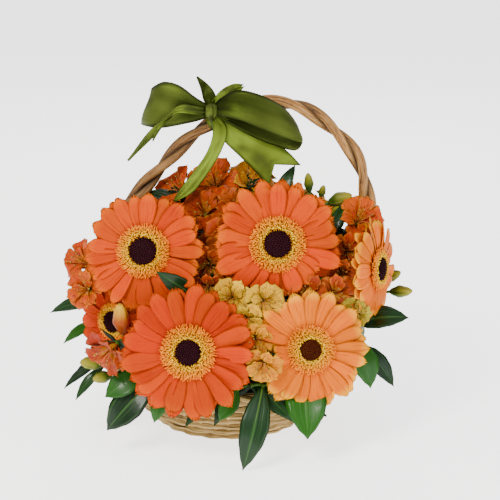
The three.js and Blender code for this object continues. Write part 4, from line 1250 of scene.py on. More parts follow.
LEAFY_STEMS = [
    Plant("leaves_left", anchor=(-94, -22, 96), leaves=[
        Leaf((-108, -21, 108), (-150, -30, 102), 8, (-0.2, -0.5, 0.85)),
        Leaf((-108, -24, 92), (-138, -46, 80), 6, (-0.2, -0.6, 0.8)),
    ]),
    Plant("leaves_left_low", anchor=(-99, -44, 66), leaves=[
        Leaf((-104, -52, 67), (-137, -60, 45), 5, (-0.4, -0.6, 0.7)),
        Leaf((-103, -56, 64), (-127, -66, 37), 5, (-0.3, -0.7, 0.6)),
        Leaf((-104, -38, 66), (-134, -34, 40), 9, (-0.7, -0.1, 0.7)),
    ]),
    Plant("leaves_front_left", anchor=(-66, -78, 66), leaves=[
        Leaf((-70, -86, 68), (-100, -94, 50), 11, (-0.2, -0.85, 0.5)),
        Leaf((-62, -88, 62), (-99, -96, 22), 14, (-0.2, -0.9, 0.4)),
        Leaf((-52, -92, 58), (-60, -102, 31), 7, (0, -0.95, 0.3)),
    ]),
    Plant("leaves_front", anchor=(20, -100, 63), leaves=[
        Leaf((28, -106, 64), (12, -130, 1), 12, (0.1, -0.95, 0.3), bow=0.14),
        Leaf((8, -104, 60), (-7, -116, 38), 8, (0, -0.95, 0.3)),
        Leaf((34, -100, 62), (50, -108, 52), 7, (0, -0.8, 0.6)),
    ]),
    Plant("leaves_front_right", anchor=(62, -86, 66), leaves=[
        Leaf((62, -92, 68), (64, -126, 26), 17, (0, -0.8, 0.6), bow=0.1),
        Leaf((74, -86, 68), (96, -104, 57), 9, (0.2, -0.8, 0.5)),
    ]),
    Plant("leaves_right", anchor=(98, -46, 84), leaves=[
        Leaf((104, -54, 100), (149, -57, 106), 12, (0.1, -0.6, 0.8)),
        Leaf((104, -56, 86), (117, -78, 52), 13, (0.4, -0.85, 0.3)),
        Leaf((110, -42, 78), (138, -55, 45), 9, (0.5, -0.8, 0.3)),
    ]),
    Plant("leaf_between", anchor=(-32, -66, 122), leaves=[
        Leaf((-26, -76, 130), (-57, -92, 156), 8, (0, -0.9, 0.3)),
    ]),
    Plant("leaf_behind", anchor=(34, -6, 176), leaves=[
        Leaf((38, -8, 190), (56, 2, 222), 6, (-0.2, -0.9, 0.1)),
    ]),
    Plant("leaves_back_left", anchor=(-76, 62, 68), leaves=[
        Leaf((-82, 68, 70), (-112, 100, 36), 13, (-0.6, 0.6, 0.6)),
        Leaf((-92, 42, 74), (-132, 50, 58), 11, (-0.5, 0.1, 0.85)),
        Leaf((-60, 86, 70), (-72, 122, 48), 12, (-0.2, 0.7, 0.7)),
    ]),
    Plant("leaves_back", anchor=(4, 96, 70), leaves=[
        Leaf((4, 102, 70), (-6, 138, 34), 14, (0, 0.8, 0.6)),
        Leaf((-20, 98, 72), (-42, 130, 62), 11, (-0.1, 0.5, 0.85)),
        Leaf((28, 100, 70), (46, 134, 44), 12, (0.2, 0.7, 0.7)),
    ]),
    Plant("leaves_back_right", anchor=(82, 56, 72), leaves=[
        Leaf((88, 62, 74), (122, 88, 42), 13, (0.6, 0.5, 0.6)),
        Leaf((98, 34, 78), (140, 38, 70), 11, (0.4, 0.1, 0.9)),
        Leaf((70, 78, 70), (86, 116, 50), 12, (0.3, 0.7, 0.7)),
    ]),
]

# Each length of the bow: how deep its end's V cut is, its tone, which is painted light from shaded 0 to lit
# 1, and its stations (x, y, z, half width x, y, z).
BOW_STRIPS = [
    (0, 0.32, [
        (-14, -10, 270, 0, 0, 4), (-26, -15, 273, -1, 0, 10), (-39, -19, 277, -1, 2, 16),
        (-53, -19, 277, 2, 2, 19), (-63, -16, 276, 4, 1, 17.5), (-68, -9, 274, 4, 0, 15),
        (-62, -3, 272, 3, 0, 14), (-48, -2, 272, 0, 0, 12), (-30, -5, 271, 0, 0, 8),
        (-15, -9, 270, 0, 0, 4),
    ]),
    (0, 0.3, [
        (-14, -10, 271, 0, 3, 3), (-3, -16, 275, -1, 4, 8), (10, -21, 277, -1, 4, 12),
        (28, -25, 272, 0, 5, 13), (46, -27, 264, 0, 7, 11), (57, -26, 256, 0, 10, 6),
        (60, -22, 250, 0, 12, 2), (55, -17, 247, 0, 9, 6), (42, -15, 251, 0, 5, 9), (24, -14, 257, 0, 4, 9),
        (6, -12, 263, 0, 3, 6), (-13, -10, 270, 0, 3, 2),
    ]),
    (13, 0.85, [
        (-13, -11, 268, 4, 0, 3), (-5, -13, 260, 6, 1, 4), (6, -13, 251, 9, 2, 6), (20, -12, 241, 11, 2, 8),
        (36, -14, 228, 12.5, 1, 9.5), (47, -15, 216, 13.5, 0, 9.5),
    ]),
    (0, 0.9, [
        (-12, -11, 267, 3.5, 0, 1), (-7, -16, 254, 6, 0, 2), (-12, -21, 238, 6.5, 1, 1),
        (-24, -26, 220, 6, 0, -1), (-34, -30, 208, 4.5, 0, -2.5), (-45, -32, 199, 0.7, 0, -0.6),
    ]),
    (0, 0.6, [
        (-15, -10, 269, 0, 1, 3), (-28, -20, 273, 1, 1, 3.5), (-41, -26, 275, 2, 0, 3.5),
        (-53, -26, 266, 4, 0, 3), (-64, -22, 252, 5, 0, 1.5), (-83, -16, 230, 0.7, 0, 0.5),
    ]),
    (0, 0.6, [
        (-48, -26.6, 268, 2.5, 0, 1.5), (-57, -25.5, 258, 2.2, 0, 1), (-62, -23.5, 248, 0.4, 0, 0.3),
    ]),
    (0, 0.1, [
        (-13, -8, 272, 5, 0, 0), (-16, -6, 282, 5, 1, 2), (-20, -5, 290, 3, 0, 2),
        (-26, -4, 298, 0.6, 0, 0.4),
    ]),
    (4, 0.7, [
        (-13, -8, 273, -2, 1, 3), (-4, -6, 281, -3, 1, 5), (5, -5, 287, -2, 0, 5),
        (14, -4, 291, -0.4, 0, 0.8),
    ]),
]

HANDLE_ROUTE = [
    (-72.4, 0, 34), (-77, 0, 41.5), (-81.3, 0, 49), (-84.5, 0, 57), (-93, 0, 74), (-106, 0, 100),
    (-111, 0, 130), (-105, 0, 160),
    (-92, 0, 181), (-78, 0, 196), (-64, 0, 212), (-48, 0, 230), (-32, 0, 246), (-15, 0, 258),
    (5, 0, 270), (28, 0, 275), (47, 0, 275), (64, 0, 270), (80, 0, 259), (95, 0, 245),
    (105, 0, 232), (111, 0, 219), (115, 0, 203), (118, 0, 185), (120, 0, 155), (118, 0, 125),
    (110, 0, 96), (95, 0, 74), (84.5, 0, 57), (81.3, 0, 49), (77, 0, 41.5), (72.4, 0, 34),
]


@dataclass
class StemPlan:
    """Works out where each stem enters the foam, so that the stems share it evenly."""

    heads: Sequence[GerberaHead]
    plants: Sequence[Plant]
    foam_radius: float = 62.0
    foam_top: float = 76.0
    depth: float = 24.0
    spacing: float = math.radians(12.5)
    lowest: float = math.sin(math.radians(28))
    behind_head: float = 38.0
    rounds: int = 200

    def __post_init__(self) -> None:
        """Spreads the directions of all stems."""
        pulls = [Vector(h.at) - Vector(h.facing).normalized() * self.behind_head for h in self.heads]
        pulls += [plant.fork() for plant in self.plants]
        self.directions = [(pull - STEM_CENTRE).normalized() for pull in pulls]
        for _ in range(self.rounds):
            self.push_apart()
        self.of_head = dict(zip([h.number for h in self.heads], self.directions))
        self.of_plant = dict(zip([p.name for p in self.plants], self.directions[len(self.heads) :]))

    def push_apart(self) -> None:
        """Moves each pair of directions that is too close a little apart."""
        rays = self.directions
        for i, ray in enumerate(rays):
            for other in rays[i + 1 :]:
                angle = ray.angle(other)
                if angle < self.spacing:
                    push = (other - ray).normalized() * (self.spacing - angle) / 2
                    other += push
                    other.normalize()
                    ray -= push
                    ray.normalize()
            ray.z = max(ray.z, self.lowest)
            ray.normalize()

    def line(self, start: Vector, leaving: Vector, direction: Vector, count: int) -> list[Vector]:
        """Draws a stem's centre line.

        Args:
            start: Where the stem leaves its head or fork.
            leaving: The direction that it leaves in.
            direction: The direction of its hole, out of the foam.
            count: How many points the free part gets.

        Returns:
            The points from the start down into the foam.
        """
        to_top = (self.foam_top - STEM_CENTRE.z) / direction.z
        to_side = self.foam_radius / math.hypot(direction.x, direction.y)
        mouth = STEM_CENTRE + direction * min(to_top, to_side)
        outside = mouth + direction * 8
        reach = (start - outside).length / 2.4
        knots = (start, start + leaving * reach, outside + direction * reach, outside)
        return [*bezier(knots, count), mouth, mouth - direction * self.depth]


@dataclass
class Gerbera:
    """A gerbera: two layers of ray petals, a ring of trans florets, a dark eye and a stem."""

    head: GerberaHead
    stems: StemPlan
    scatter: Scatter
    lower_petals: int = 19
    upper_petals: int = 21
    hub: float = 13.5
    petal_length: float = 40.0
    petal_width: float = 14.6
    petal_thickness: float = 0.45
    petal_rows: int = 11
    petal_columns: int = 9
    ring_florets: int = 860
    eye_florets: int = 120
    pollen_tips: int = 64
    bracts: int = 15
    stem_radius: float = 2.6
    outline = ((0, 0.36), (0.2, 0.58), (0.5, 0.92), (0.7, 1.0), (0.86, 0.9), (0.95, 0.64), (1, 0.3))
    petal_styles = ((1.4, 0.12, 1.6), (3.0, -0.18, 2.2), (4.6, 0.1, 1.2), (0.4, -0.1, 1.8), (2.2, 0.26, 2.6))
    floret_styles = ((4.6, 0.46, 0.5), (5.0, 0.4, 0.9), (4.2, 0.52, 0.2))

    def __post_init__(self) -> None:
        """Places the head, and names its pieces."""
        self.place = placed(self.head.at, self.head.facing)
        self.name = f"gerbera_{self.head.number}"

    def petal(self, bend: float, twist: float, teeth: float) -> MeshDraft:
        """Makes one pattern petal along +Y with its root at the origin.

        Args:
            bend: How far the tip hangs, in millimetres.
            twist: How far the tip turns about the petal's length, in radians.
            teeth: How deep the tip's notches are, in millimetres.

        Returns:
            The petal's draft.
        """
        rows = []
        for t in spread(self.petal_rows):
            half = self.petal_width / 2 * profile_at(self.outline, t)
            rows.append([])
            for u in spread(self.petal_columns, -1):
                notch = teeth * (0.5 - 0.5 * math.cos(u * math.pi * 3)) * t**12
                y = self.petal_length * t - 2.2 * abs(u) ** 2.2 * t**5 - notch
                z = 0.22 * math.cos(u * math.pi * 3) * min(1, 4 * t) * (1 - 0.4 * t)
                z += 0.5 * u * u * (1 - t) + 0.8 * math.sin(math.pi * min(t * 1.1, 1)) - bend * t**2.4
                turn = twist * t
                rows[-1].append(Vector((u * half * math.cos(turn), y, z + u * half * math.sin(turn))))
        draft = MeshDraft()
        draft.blade(rows, self.petal_thickness, 0)
        return draft

    def reach_at(self, angle: float) -> float:
        """Returns the share of a petal's length that is left at an angle in degrees."""
        side, spread, reach = self.head.short or (0, 0, 1.0)
        return reach if abs((angle - side + 540) % 360 - 180) < spread else 1.0

    def petals(self, finish: Material) -> Piece:
        """Builds both layers of ray petals.

        Args:
            finish: Their finish.

        Returns:
            The piece.
        """
        draw = random.Random(self.head.seed)
        patterns = [self.petal(*style) for style in self.petal_styles]
        spots = []
        for count, height, lean, start in (
            (self.lower_petals, -1.6, -0.045, 0.5),
            (self.upper_petals, 1.0, 0.0, 0.0),
        ):
            for k in range(count):
                angle = (k + start + draw.uniform(-0.22, 0.22)) / count * math.tau
                full = self.head.radius * draw.uniform(0.95, 1.06) * self.reach_at(math.degrees(angle))
                length = (full - self.hub + 2) / self.petal_length
                place = Matrix.Rotation(angle - math.pi / 2, 4, "Z")
                place = place @ Matrix.Translation((0, self.hub - 2, height + draw.uniform(-0.3, 0.3)))
                place = place @ Matrix.Rotation(lean + draw.uniform(-0.04, 0.03), 4, "X")
                place = place @ Matrix.Rotation(0.13 + draw.uniform(-0.06, 0.06), 4, "Y")
                size = (draw.uniform(0.86, 1.14) * self.head.radius / 50, length, 1.0)
                spots.append(Spot(self.place @ place, size, draw.randrange(len(patterns)), draw.random()))
        return self.scatter.piece(f"{self.name}_ray_petals", patterns, finish, spots)

    def floret(self, length: float, radius: float, splay: float) -> MeshDraft:
        """Makes one disc floret: a tube along +Z that opens into a small lip.

        Args:
            length: Its length.
            radius: Its radius.
            splay: How far its tip leans.

        Returns:
            The floret's draft.
        """
        draft = MeshDraft()
        path = [Vector((splay * t * t, 0, length * t)) for t in (0, 0.45, 0.8, 1)]
        draft.tube(path, [radius * 0.55, radius * 0.8, radius * 1.15, radius * 0.7], 5, 0)
        return draft

    def ring(self, golden: Material) -> Piece:
        """Builds the ring of trans florets, which lean outwards over the petals' roots.

        Args:
            golden: The florets' finish.

        Returns:
            The piece.
        """
        draw = random.Random(self.head.seed + 100)
        patterns = [self.floret(*style) for style in self.floret_styles]
        bed = MeshDraft()
        bed.lathe([(0, 0), (1, 0), (0.96, 0.7), (0.5, 1), (0, 1)], 32, 0)
        patterns.append(bed)
        inner, outer = self.head.eye * 0.92, self.head.ring - 5.6
        bed_inner, bed_outer = self.head.eye * 0.9, self.head.ring
        bed_place = self.place @ Matrix.Translation((0, 0, 0.2))
        spots = [Spot(bed_place, (outer, outer, 2.6), 3, 0.4)]
        for i in range(self.ring_florets):
            share = (i + 0.5) / self.ring_florets
            r = math.sqrt(inner**2 + (outer**2 - inner**2) * share)
            t = (r - inner) / (outer - inner)
            on_bed = min(max((r - bed_inner) / (bed_outer - bed_inner), 0), 1)
            height = 1.9 - 2.9 * on_bed**2.2
            lean = 0.05 + 0.85 * t + draw.uniform(-0.22, 0.22)
            place = Matrix.Rotation(i * GOLDEN_ANGLE, 4, "Z") @ Matrix.Translation((r, 0, height))
            place = place @ Matrix.Rotation(lean, 4, "Y") @ Matrix.Rotation(draw.uniform(-0.2, 0.2), 4, "X")
            size = (1.0, 1.0, 0.82 + 0.35 * t + draw.uniform(-0.08, 0.08))
            tone = min(max(1 - t * 0.75 - draw.uniform(0, 0.3), 0), 1)
            spots.append(Spot(self.place @ place, size, draw.randrange(3), tone))
        return self.scatter.piece(f"{self.name}_trans_florets", patterns, golden, spots)

    def eye(self, dark: Material) -> Piece:
        """Builds the eye: closed dark florets, packed on a low dome.

        Args:
            dark: The florets' finish.

        Returns:
            The piece.
        """
        draw = random.Random(self.head.seed + 200)
        bead, bed = MeshDraft(), MeshDraft()
        bead.lathe([(0, 0), (0.62, 0.5), (0.78, 1.5), (0.45, 2.3), (0, 2.5)], 6, 0)
        bed.lathe([(0, 0), (0.98, 0.0), (0.9, 0.55), (0.6, 0.86), (0, 1.0)], 18, 0)
        radius = self.head.eye * 0.93
        bed_place = self.place @ Matrix.Translation((0, 0, 3.2))
        spots = [Spot(bed_place, (radius, radius, 3.2), 1, 0.3)]
        for i in range(self.eye_florets):
            r = radius * 0.97 * math.sqrt((i + 0.5) / self.eye_florets)
            rise = 4.1 + 2.0 * (1 - (r / radius) ** 2)
            place = Matrix.Rotation(i * GOLDEN_ANGLE, 4, "Z") @ Matrix.Translation((r, 0, rise))
            place = place @ Matrix.Rotation(0.7 * r / radius, 4, "Y")
            wide = draw.uniform(0.85, 1.1) * radius / 11
            size = (wide, wide, draw.uniform(0.75, 1.0))
            spots.append(Spot(self.place @ place, size, 0, draw.random()))
        return self.scatter.piece(f"{self.name}_eye", [bead, bed], dark, spots)

    def pollen(self, yellow: Material) -> Piece:
        """Builds the pale pollen tips that stand in a loose ring round the eye.

        Args:
            yellow: The tips' finish.

        Returns:
            The piece.
        """
        draw = random.Random(self.head.seed + 300)
        tip = MeshDraft()
        tip.lathe([(0, 0), (0.3, 0.2), (0.34, 2.2), (0.66, 2.6), (0.42, 3.1), (0, 3.2)], 6, 0)
        spots = []
        for i in range(self.pollen_tips):
            angle = (i + draw.uniform(-0.3, 0.3)) / self.pollen_tips * math.tau
            r = self.head.eye * (0.94 + draw.uniform(0, 0.3))
            place = Matrix.Rotation(angle, 4, "Z") @ Matrix.Translation((r, 0, draw.uniform(3.7, 4.4)))
            place = place @ Matrix.Rotation(draw.uniform(0.05, 0.4), 4, "Y")
            wide = draw.uniform(0.7, 1.05)
            size = (wide, wide, draw.uniform(0.75, 0.95))
            spots.append(Spot(self.place @ place, size, 0, draw.random()))
        return self.scatter.piece(f"{self.name}_pollen_tips", [tip], yellow, spots)

    def stem(self, stalk: Material) -> Piece:
        """Builds the stem with its calyx: a green cup of narrow, overlapping bracts.

        Args:
            stalk: Its finish.

        Returns:
            The piece.
        """
        back = -Vector(self.head.facing).normalized()
        start = Vector(self.head.at) + back * 15
        line = self.stems.line(start, back, self.stems.of_head[self.head.number], 22)
        draft = MeshDraft()
        radii = [self.stem_radius + 0.5 * max(0, 1 - i / 5) for i in range(len(line))]
        draft.tube(line, radii, sides=12, slot=0, tone=0.4, ribs=0.04)
        draft.matrix = self.place
        draft.lathe([(0, -15.5), (2.9, -15), (4.6, -11), (7.8, -6.5), (8.2, -3.4), (0, -3)], 24, 0, 0.6)
        draw = random.Random(self.head.seed + 400)
        for layer, (low, high, wide) in enumerate(((-12.5, -4.6, 2.0), (-10, -3.2, 2.2))):
            for k in range(self.bracts):
                angle = (k + layer / 2) / self.bracts * math.tau
                rows = []
                for t in (0, 0.25, 0.5, 0.75, 1):
                    r = 4.7 + 0.9 * layer + 4.9 * t**0.8
                    spread = wide * (0.75 + 0.6 * t - 1.3 * t * t) / r
                    rows.append([])
                    for side, lift in ((-1, 0), (0, 0.35), (1, 0)):
                        turn = angle + side * spread
                        x, y = (r + lift) * math.cos(turn), (r + lift) * math.sin(turn)
                        rows[-1].append(Vector((x, y, low + (high - low) * t)))
                draft.blade(rows, 0.5, 0, draw.random())
        return draft.piece(f"{self.name}_stalk", [stalk])


OUTER, INNER, GREEN, FILAMENT, POLLEN, BUD, SPRIG = range(7)


@dataclass
class FlowerSpray:
    """One alstroemeria stem with its open trumpets and closed buds."""

    plant: Plant
    stems: StemPlan
    rows: int = 12
    columns: int = 9
    tepal_thickness: float = 0.5
    stem_radius: float = 1.9
    stalk_radius: float = 1.25
    full_radius: float = 20.0
    sprig_rows: int = 7
    bud_rows: int = 14

    outer_path = ((2.0, 0.5), (4.2, 4.6), (6.4, 8.6), (9.8, 11.9), (14.2, 13.8), (18.0, 13.4), (20.8, 11.2))
    outer_widths = ((0, 3.8), (0.3, 8.4), (0.52, 17.0), (0.74, 22.5), (0.9, 18.0), (1, 5.0))
    inner_path = ((1.8, 1.0), (3.8, 6.2), (5.8, 11.0), (9.0, 14.6), (12.8, 16.8), (16.4, 18.0), (19.2, 18.2))
    inner_widths = ((0, 3.4), (0.3, 7.2), (0.55, 11.6), (0.75, 14.5), (0.9, 11.0), (1, 2.6))
    bud_swell = ((0, 0.34), (0.12, 0.6), (0.42, 1.0), (0.75, 0.72), (0.92, 0.36), (1, 0.06))

    def __post_init__(self) -> None:
        """Starts with an empty draft, and a draw that each trumpet replaces by its own."""
        self.draft = MeshDraft()
        self.draw = random.Random(0)

    def tepal(self, angle: float, slot: int, scale: float) -> None:
        """Adds one tepal to a trumpet.

        Args:
            angle: The tepal's direction on the trumpet.
            slot: OUTER for one of the three broad ones, or INNER.
            scale: The trumpet's size against a 20 mm one.
        """
        outer = slot == OUTER
        path, widths = (self.outer_path, self.outer_widths) if outer else (self.inner_path, self.inner_widths)
        ruffle = self.draw.uniform(0.5, 1.5) * (1.0 if outer else 0.7)
        phase = self.draw.uniform(0, math.tau)
        curl = self.draw.uniform(-0.6, 1.6)
        sway = self.draw.uniform(-1.2, 1.2)
        rows = []
        line = spline([Vector((r, 0, z)) for r, z in path], self.rows)
        for t, middle in zip(spread(self.rows), line):
            half = profile_at(widths, t) / 2
            rows.append([])
            for u in spread(self.columns, -1):
                tip = 2.3 * (1 - abs(u)) ** 1.5 * t**8 if outer else 1.8 * (1 - abs(u)) * t**6
                r = middle.x + tip - 1.5 * u * u * t**5
                z = middle.z + (0.55 + 0.35 * t) * half * 0.33 * u * u
                z += ruffle * t * t * u * u * math.sin(phase + u * 3.4 + t * 9) - curl * t**4
                rows[-1].append(Vector((r, u * half + sway * t * t, z)) * scale)
        turn = Matrix.Rotation(angle, 4, "Z")
        rows = [[turn @ point for point in row] for row in rows]
        self.draft.blade(rows, self.tepal_thickness, slot, self.draw.random())

    def sprig_leaf(self, angle: float, scale: float) -> None:
        """Adds one small dark leaf behind a trumpet.

        Args:
            angle: The leaf's direction.
            scale: The trumpet's size against a 20 mm one.
        """
        turn = Matrix.Rotation(angle, 4, "Z")
        rows = []
        for t in spread(self.sprig_rows):
            half = 3.4 * math.sin(math.pi * min(0.12 + t, 1)) + 0.15
            x, z = 1.5 + 17.5 * t, 1.0 + 5.5 * t**1.5
            points = (Vector((x, -half, z + 0.7)), Vector((x, 0, z)), Vector((x, half, z + 0.7)))
            rows.append([turn @ (point * scale) for point in points])
        self.draft.blade(rows, 0.5, SPRIG, self.draw.uniform(0.1, 0.6))

    def stamen(self, angle: float, scale: float) -> None:
        """Adds one stamen: a thin filament with a grain of pollen on its tip.

        Args:
            angle: The stamen's direction.
            scale: The trumpet's size against a 20 mm one.
        """
        tip = (self.draw.uniform(4.2, 6.6), self.draw.uniform(17.5, 20.5))
        knots = ((0.8, 1.0), (1.8, 8.0), (3.2, 14.0), tip)
        line = spline([Vector((r * math.cos(angle), r * math.sin(angle), z)) * scale for r, z in knots], 8)
        self.draft.tube(line, [0.32 * scale] * 8, 5, FILAMENT, self.draw.random())
        ahead = (line[-1] - line[-2]).normalized()
        grain = [line[-1] + ahead * far for far in (-0.3, 0.5, 1.5, 2.1)]
        self.draft.tube(grain, [0.3, 0.8, 0.75, 0.25], 6, POLLEN, self.draw.random())

    def trumpet(self, bloom: Bloom) -> None:
        """Adds one open flower: its tepals, the leaves behind them, the ovary and the stamens.

        Args:
            bloom: The flower's place and size.
        """
        draw, draft = random.Random(bloom.seed), self.draft
        middle = placed(bloom.at, bloom.facing, bloom.turn)
        scale = bloom.radius / self.full_radius
        self.draw = draw
        draft.matrix = middle
        for k in range(6):
            angle = k * math.pi / 3 + draw.uniform(-0.1, 0.1)
            self.tepal(angle, INNER if k % 2 else OUTER, scale)
        draft.matrix = middle @ Matrix.Translation((0, 0, 3.0 * scale))
        for k in range(3):
            angle = (k + 0.25) * math.tau / 3 + draw.uniform(-0.3, 0.3)
            self.tepal(angle, INNER, scale * draw.uniform(0.6, 0.78))
        draft.matrix = middle @ Matrix.Translation((0, 0, -1.5 * scale))
        for k in range(4):
            self.sprig_leaf((k + draw.uniform(0, 0.7)) * math.tau / 4, scale)
        draft.matrix = middle
        ovary = [(0, -3.4), (2.0, -2.8), (2.9, -1.0), (2.7, 1.2), (2.0, 2.4), (0, 3.0)]
        draft.lathe([(r * scale, z * scale) for r, z in ovary], 12, GREEN)
        for k in range(6):
            self.stamen(k * math.tau / 6 + draw.uniform(-0.25, 0.25), scale)

    def stalk(self, start: Vector, leaving: Vector) -> None:
        """Adds the thin stalk from a flower's back to the fork.

        Args:
            start: The flower's back.
            leaving: The direction that it leaves in.
        """
        ray = self.stems.of_plant[self.plant.name]
        end = self.plant.fork() - ray * 3.5
        reach = (end - start).length / 2.6
        knots = (start, start + leaving * reach, end + ray * reach * 0.7, end)
        self.draft.matrix = Matrix.Identity(4)
        self.draft.tube(bezier(knots, 12), [self.stalk_radius] * 12, 8, GREEN)

    def closed_bud(self, bud: Bud, seed: int) -> None:
        """Adds one closed bud: three tepals folded round each other on a plain core.

        Args:
            bud: The bud's place and size.
            seed: Seeds its random draw.
        """
        draw, draft = random.Random(seed), self.draft
        draft.matrix = placed(bud.at, bud.pointing)
        for k in range(3):
            turn = k * math.tau / 3 + draw.uniform(-0.2, 0.2)
            rows = []
            for t in spread(self.bud_rows):
                reach = profile_at(self.bud_swell, t) * bud.radius * (1 + 0.04 * k)
                rows.append([])
                for u in spread(self.columns, -1):
                    angle = turn + u * 1.35 + t * 0.5
                    r = reach * (1 - 0.14 * (u + 1) / 2 * (1 - t))
                    rows[-1].append(Vector((r * math.cos(angle), r * math.sin(angle), bud.length * t)))
            draft.blade(rows, self.tepal_thickness, BUD, draw.random())
        core = [(0.82 * w * bud.radius, t * bud.length) for t, w in self.bud_swell]
        draft.lathe([(0, 0), *core, (0, bud.length)], 12, BUD, 0.3)

    def build(self, finishes: Sequence[Material]) -> Piece:
        """Builds the whole stem.

        Args:
            finishes: The finishes, in the order OUTER to SPRIG.

        Returns:
            The piece.
        """
        for bloom in self.plant.blooms:
            self.trumpet(bloom)
            back = -Vector(bloom.facing).normalized()
            self.stalk(Vector(bloom.at) + back * 2.4, back)
        for i, bud in enumerate(self.plant.buds):
            self.closed_bud(bud, 50 + i)
            back = -Vector(bud.pointing).normalized()
            self.stalk(Vector(bud.at) - back * 0.6, back)
        ray = self.stems.of_plant[self.plant.name]
        line = self.stems.line(self.plant.fork(), -ray, ray, 16)
        self.draft.matrix = Matrix.Identity(4)
        self.draft.tube(line, [self.stem_radius] * len(line), 10, GREEN)
        return self.draft.piece(f"{self.plant.name}_stem", finishes)


BLADE, TISSUE = range(2)


@dataclass
class LeafyStem:
    """One foliage stem: a stalk that forks to a few pointed, glossy leaves."""

    plant: Plant
    stems: StemPlan
    rows: int = 18
    columns: int = 9
    leaf_thickness: float = 0.7
    stem_radius: float = 1.9
    outline = ((0, 0.1), (0.1, 0.42), (0.26, 0.82), (0.46, 1.0), (0.66, 0.86), (0.84, 0.5), (1, 0.0))

    def __post_init__(self) -> None:
        """Starts with an empty draft."""
        self.draft = MeshDraft()

    def leaf(self, leaf: Leaf, seed: int) -> None:
        """Adds one blade with its midrib sunk along the middle, bowed along its length.

        Args:
            leaf: The blade's place and size.
            seed: Seeds its random draw.
        """
        draw = random.Random(seed)
        start = Vector(leaf.start)
        along = Vector(leaf.end) - start
        side = along.cross(Vector(leaf.face)).normalized()
        normal = side.cross(along).normalized()
        wave = draw.uniform(0.2, 0.5)
        phase = draw.uniform(0, math.tau)
        rows = []
        for t in spread(self.rows):
            middle = start + along * t + normal * leaf.bow * along.length * 4 * t * (1 - t)
            reach = max(leaf.half * profile_at(self.outline, t), 0.25)
            rows.append([])
            for u in spread(self.columns, -1):
                rise = leaf.fold * reach * abs(u) ** 1.4
                rise += wave * u * u * math.sin(phase + t * 11 + u) * min(1, 3 * t * (1 - t))
                rows[-1].append(middle + side * reach * -u + normal * rise)
        self.draft.blade(rows, self.leaf_thickness, BLADE, draw.random())
        rib = [row[self.columns // 2] - normal * 0.35 for row in rows]
        self.draft.tube(rib, [1.2 - t for t in spread(self.rows)], 6, TISSUE)

    def stalk(self, leaf: Leaf) -> None:
        """Adds the stalk from the fork to the blade.

        Args:
            leaf: The blade that it carries.
        """
        fork = self.plant.fork() - self.stems.of_plant[self.plant.name] * 3.5
        start = Vector(leaf.start)
        going = (Vector(leaf.end) - start).normalized()
        reach = (start - fork).length
        middle = (fork + start) / 2 + (start - fork - going * reach) * 0.12
        line = spline([fork, middle, start, start + going * 2], 9)
        self.draft.tube(line, [1.25 - 0.03 * i for i in range(9)], 8, TISSUE)

    def build(self, finishes: Sequence[Material]) -> Piece:
        """Builds the whole stem.

        Args:
            finishes: The finishes, in the order BLADE, TISSUE.

        Returns:
            The piece.
        """
        for i, leaf in enumerate(self.plant.leaves):
            self.leaf(leaf, 70 + 7 * i + len(self.plant.name))
            self.stalk(leaf)
        ray = self.stems.of_plant[self.plant.name]
        line = self.stems.line(self.plant.fork(), -ray, ray, 16)
        self.draft.tube(line, [self.stem_radius] * len(line), 10, TISSUE)
        return self.draft.piece(f"{self.plant.name}_foliage", finishes)


